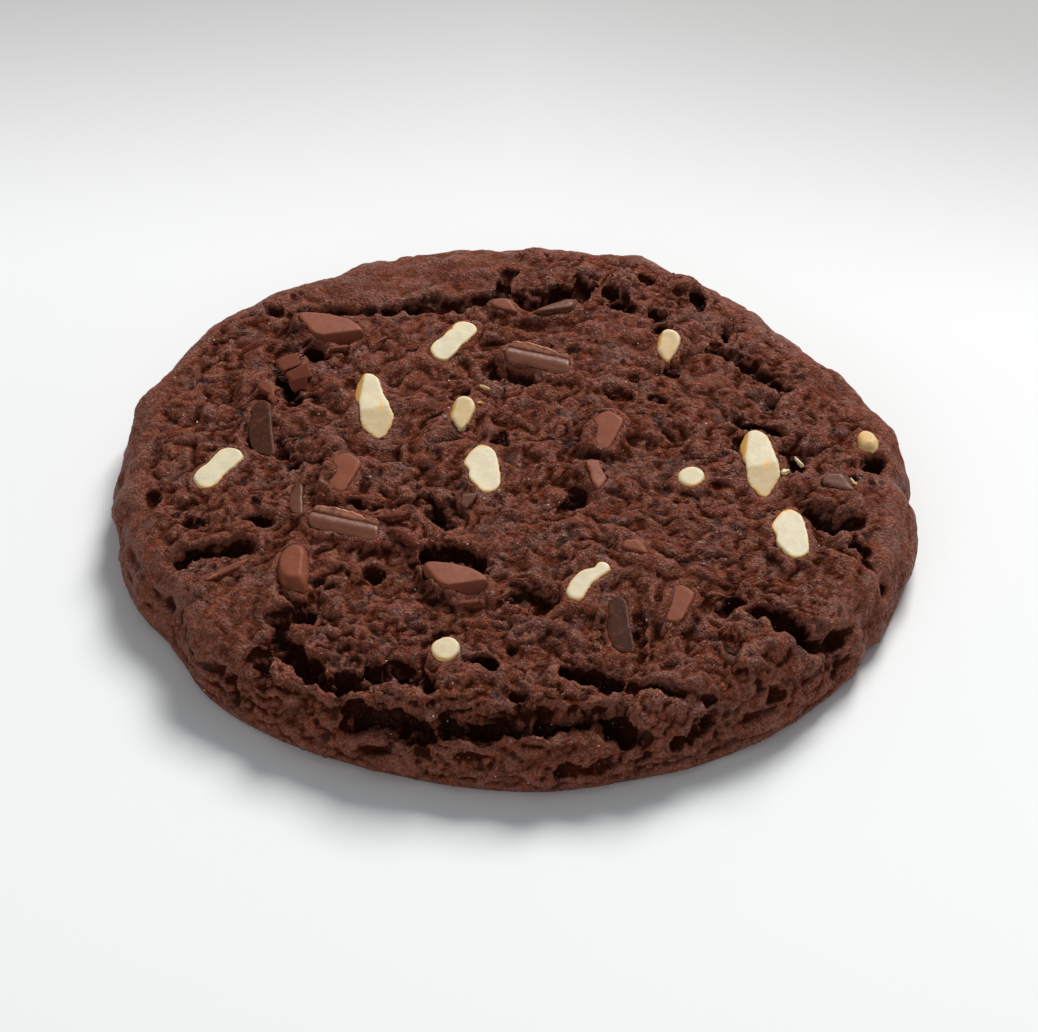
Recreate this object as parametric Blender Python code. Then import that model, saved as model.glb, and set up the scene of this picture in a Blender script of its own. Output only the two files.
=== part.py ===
"""Triple chocolate cookie: a thick, cracked cocoa dough disc with white, milk and dark chocolate pieces.

Lengths in the tables are millimetres and angles are degrees. The frame has +Z up, its origin at the
middle of the flat base, and -Y towards the side that faces the viewer.
"""
import math

import bmesh
import bpy
import numpy as np
from mathutils import Matrix, Vector, noise

MM = 0.001

# ---------------------------------------------------------------- the dough disc
COOKIE_RADIUS = 45.0        # radius of the widest ring, before the swells
RIM_HEIGHT = 9.0            # height of the top at its edge
CENTRE_HEIGHT = 11.8        # height of the top in the middle
SHOULDER_RUN = 5.0          # how far the rounded shoulder reaches in from the widest ring
WIDEST_HEIGHT = 2.8         # height of the widest ring
FOOT_RUN = 1.6              # how far the edge of the flat base lies inside the widest ring

# The outline is not round: (angle, spread, how far the rim stands out there).
RIM_SWELLS = [
    (1.5, 2.2, -1.2),
    (40.0, 13.0, -2.8),
    (72.0, 14.0, 1.2),
    (142.0, 24.0, 2.0),
    (188.0, 9.0, -0.5),
    (209.0, 9.0, -1.8),
    (250.0, 22.0, -1.3),
    (286.0, 8.0, -0.5),
    (331.0, 2.5, -0.8),
]

# Broad mounds and hollows of the top: (x, y, radius, height).
MOUNDS = [
    (-17.0, 36.0, 9.0, 0.9),    # the smooth raised band at the rear left
    (-6.0, 37.5, 6.0, 0.8),
    (4.0, 37.0, 3.6, 0.9),      # lumps of the broken rear edge
    (13.0, 35.5, 3.6, 0.9),
    (19.5, 34.5, 2.6, 0.8),
    (29.0, 25.0, 6.0, 0.7),     # the smooth band outside the crack at the right
    (36.0, -4.5, 4.2, 1.2),     # the lump between the right hollow and the drop
    (26.5, -31.0, 4.4, 1.2),    # lumps along the lower right fissure
    (32.5, -23.0, 4.0, 0.9),
    (-33.0, -24.0, 6.0, 0.6),
    (-8.0, -38.0, 5.0, 1.1),    # the lip over the front fissure
    (-16.0, -38.5, 4.0, 0.9),
    (2.0, -38.5, 4.0, 1.0),
    (15.0, -39.5, 4.0, 0.8),
    (-33.0, -8.0, 4.0, 0.7),
    (10.0, 24.0, 9.0, -0.4),
    (-12.0, -26.0, 8.0, -0.5),
]

# Cracks, gaps and pits of the top: (half width, depth, the points that its middle runs through).
CREASES = [
    (1.01, 2.6, [(-25.0, 29.2), (-23.0, 29.5), (-15.0, 28.5), (-9.0, 30.5), (-5.5, 30.0)]),
    (0.94, 2.8, [(-5.5, 30.0), (-2.0, 31.5), (-0.5, 37.0)]),
    (2.0, 3.6, [(1.0, 31.5), (6.0, 33.0)]),
    (0.86, 2.2, [(7.5, 34.0), (10.0, 38.0)]),
    (1.09, 2.6, [(11.0, 33.0), (12.0, 31.5)]),
    (0.78, 1.8, [(13.5, 30.0), (18.0, 29.0)]),
    (0.75, 2.4, [(24.0, 28.0), (24.5, 25.0), (23.5, 22.0), (28.5, 17.5), (30.5, 15.0), (29.0, 11.5)]),
    (0.94, 1.8, [(16.5, 26.5), (17.5, 26.5)]),
    (2.1, 2.0, [(-2.0, 15.5), (0.0, 14.5)]),
    (1.01, 1.5, [(10.5, 12.5), (12.0, 12.0)]),
    (0.78, 1.8, [(25.0, 8.0), (28.5, 6.5), (30.0, 5.0)]),
    (1.17, 2.4, [(40.4, 2.4), (40.2, 0.8)]),
    (1.48, 2.2, [(33.0, -8.0), (35.0, -10.0), (38.0, -8.5)]),
    (0.78, 2.0, [(37.5, -11.0), (39.5, -15.0), (41.0, -17.0)]),
    (1.01, 1.6, [(21.0, -24.0), (24.0, -23.0)]),
    (1.4, 3.6, [(27.5, -24.5), (31.5, -28.0), (34.0, -27.5), (36.5, -25.0)]),
    (0.78, 1.6, [(22.5, -28.0), (24.5, -34.0), (26.0, -34.5)]),
    (1.01, 2.6, [(5.5, -34.0), (8.0, -35.0)]),
    (0.78, 2.0, [(8.0, -35.0), (13.5, -36.5), (21.0, -37.0)]),
    (0.94, 1.5, [(15.0, -23.5), (15.0, -25.0)]),
    (1.33, 1.6, [(7.0, -6.0), (5.0, -10.0)]),
    (2.3, 2.0, [(1.0, -23.0), (3.0, -24.0)]),
    (0.8, 0.9, [(-41.0, -3.0), (-40.5, -4.0)]),
    (0.78, 2.2, [(-24.5, 1.0), (-24.0, -1.0)]),
    (1.4, 2.0, [(-36.5, -14.8), (-33.0, -13.2), (-29.5, -13.5)]),
    (1.25, 3.2, [(-22.5, -25.0), (-25.5, -25.5), (-24.5, -30.0)]),
    (1.17, 3.6, [(-24.5, -30.0), (-20.0, -35.0)]),
    (1.4, 3.2, [(-28.0, -31.0), (-27.0, -33.0)]),
    (1.33, 3.6, [(-18.5, -35.0), (-16.0, -36.0), (-15.0, -34.5), (-12.5, -34.0), (-9.5, -36.5)]),
    (0.94, 1.8, [(-5.0, -32.5), (-2.5, -34.0)]),
    (0.86, 1.6, [(-8.0, -29.0), (-7.0, -29.0)]),
    (1.17, 1.5, [(-15.5, -19.0), (-16.5, -20.0)]),
    (1.09, 2.4, [(-9.0, -16.0), (-5.5, -16.5), (-4.0, -18.0)]),
    (2.3, 2.8, [(-8.8, -7.4), (-7.6, -10.6)]),
    (0.86, 1.8, [(-31.0, -31.5), (-30.5, -33.0)]),
    (2.0, 4.5, [(-17.0, -39.0), (-12.0, -40.5), (0.0, -41.5), (10.0, -41.0)]),
    (1.17, 3.4, [(11.0, -41.5), (14.0, -41.5)]),
    (0.78, 2.4, [(17.5, -41.0), (23.0, -37.5)]),
    (0.8, 2.4, [(-22.4, 21.6), (-22.2, 19.8)]),
    (0.94, 2.6, [(-26.5, 19.0), (-25.5, 14.0), (-25.0, 11.0)]),
    (0.78, 1.8, [(-7.0, 11.5), (-6.0, 11.0)]),
]

# Thin ledges in the side: (half width, depth, first angle, first height, last angle, last height).
LEDGES = [
    (0.8, 1.1, -64.0, 6.3, -36.0, 5.2),
    (0.7, 1.0, -60.0, 4.3, -30.0, 3.4),
    (0.7, 0.9, 190.0, 6.0, 226.0, 5.4),
    (0.6, 0.8, 196.0, 3.8, 232.0, 3.4),
    (0.9, 1.3, -118.0, 3.8, -92.0, 4.4),
    (0.9, 1.2, -84.0, 3.4, -70.0, 4.2),
]
LEDGE_STEP = 6.0            # degrees between the points that a ledge is traced through

# Lumpiness of the dough: (size of a lump, how high it stands, where in the noise it is read).
CRAGS = [
    (9.0, 0.55, 3.0),
    (4.0, 0.55, 17.0),
    (2.2, 0.25, 41.0),
]
# Noises in rows of (size of a feature, height or reach, where in the noise it is read): how far a crack
# wanders, how ragged its edge is, and how unevenly it is filled with crumbs.
WANDER = [
    (4.5, 0.8, 11.0),
    (1.5, 0.4, 29.0),
]
RAGGED = [
    (2.0, 0.35, 71.0),
    (0.8, 0.40, 23.0),
]
FILLED = (3.0, 0.5, 53.0)
LEAST_OPEN = 0.5            # share of its depth that a filled crack still has
CALM_HEIGHT = 1.4           # below this height the relief dies away, so that the base stays flat
BASE_SNAP = 0.1             # points lower than this are put exactly on the base

TOP_RINGS = 66              # rings of the fine disc, from its middle to the edge of its top
SIDE_RINGS = 16             # rings down its side
DOUGH_TRIANGLES = 6400      # what the fine disc is thinned to

# ---------------------------------------------------------------- the chocolate pieces
CHIP_SIDES = 12             # sides round a piece
CHIP_RINGS = 4              # rings from its top to its bottom
POCKET_GAP = 0.45           # how far a pocket stands off its piece, at the corners
RIM_POINTS = 36             # points round a piece that the dough beside it is levelled from
EDGE_INSET = 0.14           # share of the way in from its outline where the height of its edge is read
NEAR_POWER = 4              # how much more the nearest edge counts for the height of the dough beside it
CLOSEST = 0.05              # no point counts as nearer to an edge than this
BED_REACH = 1.6             # the dough settles round a piece over this distance ...
BED_SLOPE = 1.2             # ... and falls away this steeply under it

# Each form: the outline of its widest level, seen from above; whether that outline is sharp; its
# thickness; the power of its side's profile; and its flat broken faces as (x, y, z, distance) of their
# planes, of which the first is its upper side.
FORMS = {
    "bean": dict(
        outline=[(1.2, 3.0), (2.4, 2.5), (2.75, 1.3), (2.0, 0.1), (0.9, -1.2), (0.2, -2.4), (-0.85, -3.6),
                 (-2.1, -3.3), (-2.85, -1.8), (-2.3, -0.5), (-1.4, 0.4), (-0.6, 1.6), (0.2, 2.7)],
        thickness=3.2, side=2.6, faces=[(0.0, 0.0, 1.0, 0.85)],
    ),
    "bone": dict(
        outline=[(1.5, 2.85), (2.2, 2.4), (2.35, 1.45), (1.1, 0.15), (0.3, -0.7), (-0.3, -1.9), (-1.0, -3.1),
                 (-2.1, -2.95), (-2.6, -1.9), (-2.3, -0.5), (-1.45, 0.8), (-0.55, 1.6), (0.6, 1.9), (0.9, 2.5)],
        thickness=2.8, side=2.6, faces=[(0.0, 0.0, 1.0, 0.8)],
    ),
    "drop": dict(
        outline=[(-0.3, 5.0), (0.9, 4.2), (1.6, 2.0), (2.1, -0.3), (2.25, -2.0), (1.5, -3.7), (0.6, -5.2),
                 (-0.2, -4.7), (-1.3, -3.2), (-1.7, 0.0), (-2.1, 2.6), (-1.5, 4.4)],
        thickness=3.8, side=3.0, faces=[(0.0, 0.0, 1.0, 1.05), (0.05, -0.22, 0.97, 1.2), (-0.8, 0.1, 0.6, 1.9)],
    ),
    "pinched drop": dict(
        outline=[(-0.7, 5.0), (0.4, 4.2), (1.05, 1.8), (1.8, -0.2), (2.35, -2.2), (1.75, -3.8), (0.9, -5.2),
                 (0.1, -4.8), (-1.3, -3.2), (-1.75, 0.0), (-2.3, 2.5), (-1.7, 4.5)],
        thickness=3.8, side=3.0, faces=[(0.0, 0.0, 1.0, 1.05), (0.05, -0.22, 0.97, 1.2), (-0.8, 0.1, 0.6, 1.9)],
    ),
    "small drop": dict(
        outline=[(0.05, 2.3), (0.9, 1.9), (1.35, 0.9), (1.2, -0.3), (0.65, -1.6), (-0.25, -2.9), (-0.9, -2.2),
                 (-1.45, -1.1), (-1.5, 0.0), (-1.15, 1.3), (-0.65, 2.1)],
        thickness=3.0, side=2.6, faces=[(0.0, -0.12, 1.0, 1.0), (-0.8, 0.1, 0.6, 1.35)],
    ),
    "nugget": dict(
        outline=[(-0.1, 3.8), (1.3, 2.7), (1.75, 0.6), (1.95, -1.0), (1.9, -2.9), (1.1, -3.9), (0.0, -4.0),
                 (-0.9, -2.9), (-1.7, -1.5), (-1.7, -0.3), (-2.25, 0.8), (-1.3, 2.9)],
        thickness=3.6, side=3.0, faces=[(0.0, 0.0, 1.0, 1.0)],
    ),
    "pip": dict(
        outline=[(0.0, 1.5), (1.0, 1.15), (1.55, 0.15), (1.3, -0.95), (0.5, -1.9), (-0.5, -1.9), (-1.35, -1.2),
                 (-1.65, -0.1), (-1.2, 0.9)],
        thickness=2.8, side=2.6, faces=[(0.0, 0.0, 1.0, 0.95)],
    ),
    "oval": dict(
        outline=[(-0.4, 1.7), (0.5, 1.35), (1.1, 0.4), (1.25, -0.6), (0.9, -1.5), (0.1, -1.7), (-0.8, -1.5),
                 (-1.2, -0.6), (-1.25, 0.4), (-1.0, 1.3)],
        thickness=2.4, side=2.2, faces=[(0.0, 0.1, 1.0, 1.05)],
    ),
    "wedge": dict(
        outline=[(-3.9, 2.6), (-2.0, 2.6), (0.4, 2.1), (1.9, 1.5), (3.0, 0.7), (3.7, -0.3), (3.6, -1.1),
                 (2.7, -1.8), (1.6, -2.1), (0.2, -2.0), (-1.3, -1.7), (-2.4, -1.0), (-3.2, 0.3), (-4.0, 1.6)],
        thickness=4.4, side=3.0, faces=[(0.02, 0.0, 1.0, 1.4), (0.19, -0.8, 0.55, 1.83)],
    ),
    "crusted": dict(
        outline=[(0.1, 2.9), (1.3, 2.3), (2.0, 1.4), (1.7, 0.2), (1.0, -1.4), (0.2, -3.0), (-0.9, -2.9),
                 (-2.2, -2.2), (-2.0, -0.8), (-1.5, 0.7), (-1.2, 1.9)],
        thickness=3.2, side=3.4, faces=[(-0.1, 0.0, 1.0, 1.0), (0.6, -0.15, 0.75, 1.8)],
    ),
    "shard": dict(
        outline=[(-1.4, 0.3), (-1.0, 0.8), (1.0, 1.0), (1.2, 0.0), (1.5, -1.1), (0.0, -0.8), (-1.4, -0.3)],
        sharp=True, thickness=1.8, side=6.0, faces=[(0.05, -0.1, 1.0, 0.6), (0.5, 0.2, 0.8, 0.85)],
    ),
    "tile": dict(
        outline=[(-1.05, 1.9), (0.55, 1.95), (0.85, 0.6), (1.45, -0.8), (0.95, -2.0), (0.4, -2.6), (-0.3, -1.4),
                 (-0.6, 0.2)],
        sharp=True, thickness=2.4, side=5.0, faces=[(0.12, 0.0, 1.0, 0.9)],
    ),
    "flake": dict(
        outline=[(-1.35, 0.3), (1.2, 1.35), (1.5, -0.4), (-0.45, -1.2)],
        sharp=True, thickness=1.2, side=6.0, faces=[(0.0, 0.0, 1.0, 0.45)],
    ),
    "pebble": dict(
        outline=[(0.1, 3.6), (1.0, 3.1), (1.4, 1.7), (1.6, -0.5), (1.5, -2.4), (1.1, -3.5), (0.0, -3.3),
                 (-1.1, -2.4), (-1.75, -0.95), (-1.9, 0.6), (-1.65, 2.0), (-0.9, 3.2)],
        thickness=3.4, side=2.3, faces=[(-0.15, 0.05, 0.95, 1.35), (0.62, 0.0, 0.75, 1.6)],
    ),
    "blade": dict(
        outline=[(-0.5, 4.2), (0.4, 3.9), (0.85, 2.8), (1.05, 0.4), (1.3, -2.0), (1.5, -4.4), (0.5, -4.4),
                 (-0.4, -4.0), (-1.1, -2.8), (-1.4, -1.0), (-1.45, 1.0), (-1.3, 3.0)],
        thickness=4.6, side=5.0, faces=[(-0.08, 0.0, 1.0, 1.2)],
    ),
    "tongue": dict(
        outline=[(1.4, 1.5), (2.2, 0.8), (1.6, -0.3), (-0.4, -0.8), (-3.1, -1.3), (-1.4, 0.1), (0.2, 0.9)],
        thickness=2.4, side=2.6, faces=[(0.0, 0.0, 1.0, 0.9)],
    ),
    "curl": dict(
        outline=[(-3.6, 2.1), (-2.4, 2.5), (-0.6, 2.4), (1.0, 1.7), (2.6, 0.8), (3.7, 0.45), (4.0, 0.1),
                 (3.9, -2.0), (3.6, -2.35), (2.4, -2.2), (0.6, -1.6), (-1.4, -0.9), (-3.4, -0.4), (-3.9, 0.8)],
        thickness=3.4, side=4.0, faces=[(0.0, -0.12, 1.0, 1.1)],
    ),
    "splinter": dict(
        outline=[(-2.9, -0.4), (-1.2, 0.3), (0.8, 0.5), (3.0, 0.35), (3.6, 0.0), (1.6, -0.5), (-0.8, -0.6),
                 (-2.9, -0.7)],
        thickness=2.6, side=4.0, faces=[(0.0, -0.3, 1.0, 0.8)],
    ),
    "needle": dict(
        outline=[(-3.2, -0.2), (-1.2, 0.15), (0.4, 0.4), (1.6, 0.35), (3.2, 0.15), (1.8, -0.25), (0.2, -0.4),
                 (-1.6, -0.35)],
        thickness=2.4, side=4.0, faces=[(0.0, -0.2, 1.0, 0.8)],
    ),
}

# Each piece: form, x, y, size, heading, how much its far side is raised, how far its middle lies above
# the plain disc, and how far the dough at its edge stays below its upper side.
PIECES = {
    "white": [
        ("bean", -6.95, 22.0, 1.0, 0, 8, -0.5, 0.1),
        ("pinched drop", -15.85, 9.1, 1.0, 0, 6, -0.3, 0.15),
        ("small drop", -5.7, 7.1, 1.0, 0, 8, 0.0, 0.2),
        ("bean", -32.95, -0.15, 1.0, 0, 8, -0.5, 0.1),
        ("nugget", -3.45, -2.95, 1.0, 0, 6, -0.5, 0.1),
        ("small drop", 17.7, 21.25, 1.0, 0, 8, 0.0, 0.2),
        ("pip", 19.6, -3.5, 1.0, 0, 6, -0.4, 0.05),
        ("drop", 27.25, -0.35, 1.0, 0, 6, -0.3, 0.2),
        ("oval", 39.65, 5.2, 1.0, 0, 5, -0.1, 0.25),
        ("nugget", 30.3, -12.1, 1.0, 0, 6, -0.5, 0.1),
        ("bone", 8.1, -21.2, 1.0, 0, 8, -0.4, 0.1),
        ("pip", -7.3, -31.6, 1.05, 0, 8, -0.2, 0.15),
    ],
    "milk": [
        ("wedge", -21.0, 24.3, 1.0, 0, 4, -0.3, 0.12),
        ("crusted", -19.0, -3.2, 1.05, 0, 8, -0.3, 0.15),
        ("shard", -1.2, 28.6, 1.05, 0, 10, 0.2, 0.25),
        ("crusted", 10.2, 3.8, 1.05, 0, 8, -0.3, 0.15),
        ("tile", 8.8, -3.9, 1.0, 0, 8, -0.2, 0.15),
        ("shard", 13.1, -15.9, 1.0, 0, 8, 0.0, 0.1),
        ("crusted", 17.6, -24.7, 0.95, 0, 8, -0.2, 0.2),
        ("wedge", -6.2, -21.4, 0.92, 0, 4, -0.3, 0.12),
        ("pebble", -23.85, -18.7, 1.0, 0, 8, 0.0, 0.45),
        ("needle", -31.3, -17.9, 1.0, 33, 0, -0.2, 0.1),
    ],
    "dark": [
        ("blade", -28.3, 6.5, 1.04, 0, 6, -1.0, 0.15),
        ("curl", 2.5, 16.9, 0.95, 0, 4, -0.2, 0.15),
        ("curl", -18.8, -12.4, 1.0, 0, 4, -0.2, 0.15),
        ("blade", 11.4, -27.5, 0.98, 0, 6, -1.0, 0.15),
        ("tongue", 5.0, 28.4, 1.0, 0, 0, -0.2, 0.25),
        ("blade", -24.0, -6.5, 0.6, -4, 4, -0.7, 0.0),
        ("shard", 35.9, -3.2, 1.25, 0, 8, 0.2, 0.15),
    ],
}

# Slivers and flakes too small to be pieces of their own are one with the dough, in rows like those above
# but for the last value.
FLAKES = [
    ("flake", -25.9, 17.9, 1.0, 0, 20, 0.3),
    ("flake", -24.6, 15.4, 1.05, 8, 28, 0.3),
    ("shard", -28.0, 13.4, 0.8, -20, 12, 0.1),
    ("shard", 6.7, -12.0, 0.6, 25, 15, 0.2),
    ("shard", -5.1, -8.1, 0.8, 75, 20, -0.2),
    ("needle", -13.2, -11.3, 0.6, 6, 10, 0.4),
    ("splinter", -12.0, -14.4, 0.6, -45, 10, 0.3),
]

# Base colour and roughness.
FINISHES = {
    "dough": ((0.085, 0.032, 0.020), 0.85),
    "white": ((0.78, 0.66, 0.42), 0.45),
    "milk": ((0.22, 0.082, 0.048), 0.45),
    "dark": ((0.075, 0.028, 0.017), 0.40),
}


# ---------------------------------------------------------------- forms
def rim_radius(angle):
    """Radius of the widest ring at each angle."""
    radius = np.full_like(angle, COOKIE_RADIUS)
    for centre, spread, swell in RIM_SWELLS:
        apart = (angle - centre + 180.0) % 360.0 - 180.0
        radius += swell * np.exp(-(apart / spread) ** 2)
    return radius


def smooth_body(angle, lap):
    """Points of the plain disc: lap 0 is the top's middle, 1 its edge, 2 the widest ring, 3 the foot."""
    turn = np.clip(lap - 1.0, 0.0, 1.0) * math.pi / 2
    tuck = np.clip(lap - 2.0, 0.0, 1.0) * math.pi / 2
    inward = np.clip(lap, 0.0, 1.0)
    radius = (rim_radius(angle) - SHOULDER_RUN) * inward
    radius += SHOULDER_RUN * np.sin(turn) - FOOT_RUN * (1.0 - np.cos(tuck))
    height = RIM_HEIGHT + (CENTRE_HEIGHT - RIM_HEIGHT) * (1.0 - inward ** 2)
    height -= (RIM_HEIGHT - WIDEST_HEIGHT) * (1.0 - np.cos(turn)) + WIDEST_HEIGHT * np.sin(tuck)
    turned = np.radians(angle)
    return np.stack([radius * np.cos(turned), radius * np.sin(turned), height], axis=-1)


def on_top(x, y):
    """The point of the plain disc's top or shoulder above (x, y)."""
    angle = math.degrees(math.atan2(y, x))
    top_edge = float(rim_radius(np.array([angle]))[0]) - SHOULDER_RUN
    reach = math.hypot(x, y)
    if reach <= top_edge:
        height = RIM_HEIGHT + (CENTRE_HEIGHT - RIM_HEIGHT) * (1.0 - (reach / top_edge) ** 2)
    else:
        over = min((reach - top_edge) / SHOULDER_RUN, 1.0)
        height = WIDEST_HEIGHT + (RIM_HEIGHT - WIDEST_HEIGHT) * math.sqrt(1.0 - over ** 2)
    return x, y, height


def on_side(angle, height):
    """The point of the plain disc's shoulder at an angle and a height."""
    rise = (height - WIDEST_HEIGHT) / (RIM_HEIGHT - WIDEST_HEIGHT)
    radius = float(rim_radius(np.array([angle]))[0]) - SHOULDER_RUN * (1.0 - math.sqrt(1.0 - rise ** 2))
    return radius * math.cos(math.radians(angle)), radius * math.sin(math.radians(angle)), height


def noise_field(points, size, offset):
    """Smooth noise from about -1 to 1 at each point, with features of the given size."""
    return np.array([noise.noise(Vector(point) / size + Vector((offset, offset, offset))) for point in points])


def gap_to_path(points, path):
    """Distance from each point to a path of straight runs."""
    nearest = np.full(len(points), np.inf)
    for start, end in zip(path[:-1], path[1:]):
        start, run = np.array(start), np.array(end) - np.array(start)
        along = np.clip((points - start) @ run / (run @ run), 0.0, 1.0)
        nearest = np.minimum(nearest, np.linalg.norm(points - start - along[:, None] * run, axis=1))
    return nearest


def ledge_path(first_angle, first_height, last_angle, last_height):
    """Points along a ledge in the side."""
    steps = max(2, round(abs(last_angle - first_angle) / LEDGE_STEP) + 1)
    angles = np.linspace(first_angle, last_angle, steps)
    heights = np.linspace(first_height, last_height, steps)
    return [on_side(angle, height) for angle, height in zip(angles, heights)]


def swell(points, x, y, radius):
    """1 at a place of the top, fading away from it over the radius."""
    return np.exp(-(np.linalg.norm(points - np.array(on_top(x, y)), axis=1) / radius) ** 2)


def lumps(points):
    """Height of the lumps and mounds at each point of the plain disc."""
    relief = sum(height * noise_field(points, size, offset) for size, height, offset in CRAGS)
    for x, y, radius, height in MOUNDS:
        relief += height * swell(points, x, y, radius)
    return relief


def wandered(points):
    """The points moved by a slow and a quick noise, so that straight runs wind."""
    moved = points.copy()
    for size, reach, offset in WANDER:
        for axis in range(3):
            moved[:, axis] += reach * noise_field(points, size, offset + 10.0 * axis)
    return moved


def cracks(points):
    """Depth of the cracks, gaps and ledges at each point of the plain disc."""
    ragged = sum(reach * noise_field(points, size, offset) for size, reach, offset in RAGGED)
    size, reach, offset = FILLED
    filled = np.clip(0.9 + reach * noise_field(points, size, offset), LEAST_OPEN, 1.2)
    places = wandered(points)
    lines = [(half, depth, [on_top(*point) for point in path]) for half, depth, path in CREASES]
    lines += [(half, depth, ledge_path(*ends)) for half, depth, *ends in LEDGES]
    cut = np.zeros(len(points))
    for half, depth, path in lines:
        share = np.clip((gap_to_path(places, path) + ragged) / half, 0.0, 1.0)
        cut = np.maximum(cut, depth * smooth_step(1.0 - share))
    return cut * filled


def smooth_step(value):
    """0 up to 0, 1 from 1, and an even rise between."""
    value = np.clip(value, 0.0, 1.0)
    return value * value * (3.0 - 2.0 * value)


# ---------------------------------------------------------------- Blender helpers
def new_collection(name):
    """A collection linked to the scene."""
    collection = bpy.data.collections.new(name)
    bpy.context.scene.collection.children.link(collection)
    return collection


def new_object(name, mesh, collection):
    """An object of that mesh in a collection."""
    obj = bpy.data.objects.new(name, mesh)
    collection.objects.link(obj)
    return obj


def finish_mesh(name, bm):
    """A mesh from a bmesh in millimetres, with its faces pointing out."""
    bmesh.ops.recalc_face_normals(bm, faces=bm.faces)
    bmesh.ops.scale(bm, vec=(MM, MM, MM), verts=bm.verts)
    mesh = bpy.data.meshes.new(name)
    bm.to_mesh(mesh)
    bm.free()
    return mesh


def plain_material(name, colour, roughness):
    """A Principled material of one colour."""
    material = bpy.data.materials.new(name)
    material.use_nodes = True
    shader = material.node_tree.nodes["Principled BSDF"]
    shader.inputs["Base Color"].default_value = (*colour, 1.0)
    shader.inputs["Roughness"].default_value = roughness
    shader.inputs["Metallic"].default_value = 0.0
    return material


def apply_modifiers(obj):
    """Replace the object's mesh by its evaluated one and drop the modifiers."""
    graph = bpy.context.evaluated_depsgraph_get()
    mesh = bpy.data.meshes.new_from_object(obj.evaluated_get(graph))
    obj.modifiers.clear()
    obj.data = mesh


def flatten_base(obj):
    """Put the lowest points exactly on the base, because thinning shifts them a little."""
    for vert in obj.data.vertices:
        if vert.co.z < BASE_SNAP * MM:
            vert.co.z = 0.0


def drop_scraps(obj):
    """Keep only the largest connected body of the object's mesh."""
    bm = bmesh.new()
    bm.from_mesh(obj.data)
    bodies, left = [], set(bm.verts)
    while left:
        body, reached = set(), [left.pop()]
        while reached:
            vert = reached.pop()
            body.add(vert)
            near = {edge.other_vert(vert) for edge in vert.link_edges} & left
            left -= near
            reached += near
        bodies.append(body)
    bodies.sort(key=len)
    for scrap in bodies[:-1]:
        bmesh.ops.delete(bm, geom=list(scrap), context="VERTS")
    bm.to_mesh(obj.data)
    bm.free()


# ---------------------------------------------------------------- the dough
def square_to_disc(a, b):
    """Angle and reach on a disc for a point of a square of half side 1, ring by ring."""
    reach = max(abs(a), abs(b))
    if reach == 0.0:
        return 0.0, 0.0
    if abs(a) >= abs(b):
        return 45.0 * b / a + (180.0 if a < 0.0 else 0.0), reach
    return 90.0 - 45.0 * a / b + (180.0 if b < 0.0 else 0.0), reach


def dough_mesh():
    """The disc as rings of a grid, with its side extruded ring by ring and its base one flat face."""
    bm = bmesh.new()
    bmesh.ops.create_grid(bm, x_segments=2 * TOP_RINGS, y_segments=2 * TOP_RINGS, size=1.0)
    spots = {vert: square_to_disc(vert.co.x, vert.co.y) for vert in bm.verts}
    edge = [edge for edge in bm.edges if edge.is_boundary]
    for ring in range(1, 2 * SIDE_RINGS + 1):
        rim = {vert for item in edge for vert in item.verts}
        made = bmesh.ops.extrude_edge_only(bm, edges=edge)["geom"]
        lap = 1.0 + ring / SIDE_RINGS
        key = {tuple(round(value, 6) for value in vert.co): spots[vert] for vert in rim}
        for vert in (item for item in made if isinstance(item, bmesh.types.BMVert)):
            angle, _ = key[tuple(round(value, 6) for value in vert.co)]
            spots[vert] = (angle, lap)
        edge = [item for item in made if isinstance(item, bmesh.types.BMEdge) and item.is_boundary]
        edge = [item for item in edge if all(spots[vert][1] == lap for vert in item.verts)]
    bmesh.ops.edgeloop_fill(bm, edges=edge)

    verts = list(bm.verts)
    angle, lap = (np.array(values) for values in zip(*(spots[vert] for vert in verts)))
    points = smooth_body(angle, lap)
    for vert, point in zip(verts, points):
        vert.co = point
    bmesh.ops.recalc_face_normals(bm, faces=bm.faces)
    bm.normal_update()
    outward = np.array([vert.normal for vert in verts])
    share, height = bed_shares(points)
    relief = lumps(points) * (1.0 - share) + height * share - cracks(points)
    calm = np.clip(points[:, 2] / CALM_HEIGHT, 0.0, 1.0) ** 2
    points += outward * (relief * calm)[:, None]
    for vert, point in zip(verts, points):
        vert.co = (point[0], point[1], max(point[2], 0.0))
    return finish_mesh("dough", bm)


# ---------------------------------------------------------------- the chocolate
def trace(points, count, sharp):
    """Evenly spaced points on a closed outline, rounded through the given points unless it is sharp."""
    points = np.array(points)
    spans = np.linalg.norm(np.roll(points, -1, axis=0) - points, axis=1)
    starts = np.concatenate([[0.0], np.cumsum(spans)])
    places = np.arange(count) / count * starts[-1]
    index = np.clip(np.searchsorted(starts, places, side="right") - 1, 0, len(points) - 1)
    share = ((places - starts[index]) / spans[index])[:, None]
    before, first, last, after = (points[(index + step) % len(points)] for step in (-1, 0, 1, 2))
    if sharp:
        return first + (last - first) * share
    slope_in, slope_out = (last - before) / 2, (after - first) / 2
    square, cube = share ** 2, share ** 3
    return (
        first * (2 * cube - 3 * square + 1)
        + slope_in * (cube - 2 * square + share)
        + last * (3 * square - 2 * cube)
        + slope_out * (cube - square)
    )


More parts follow.
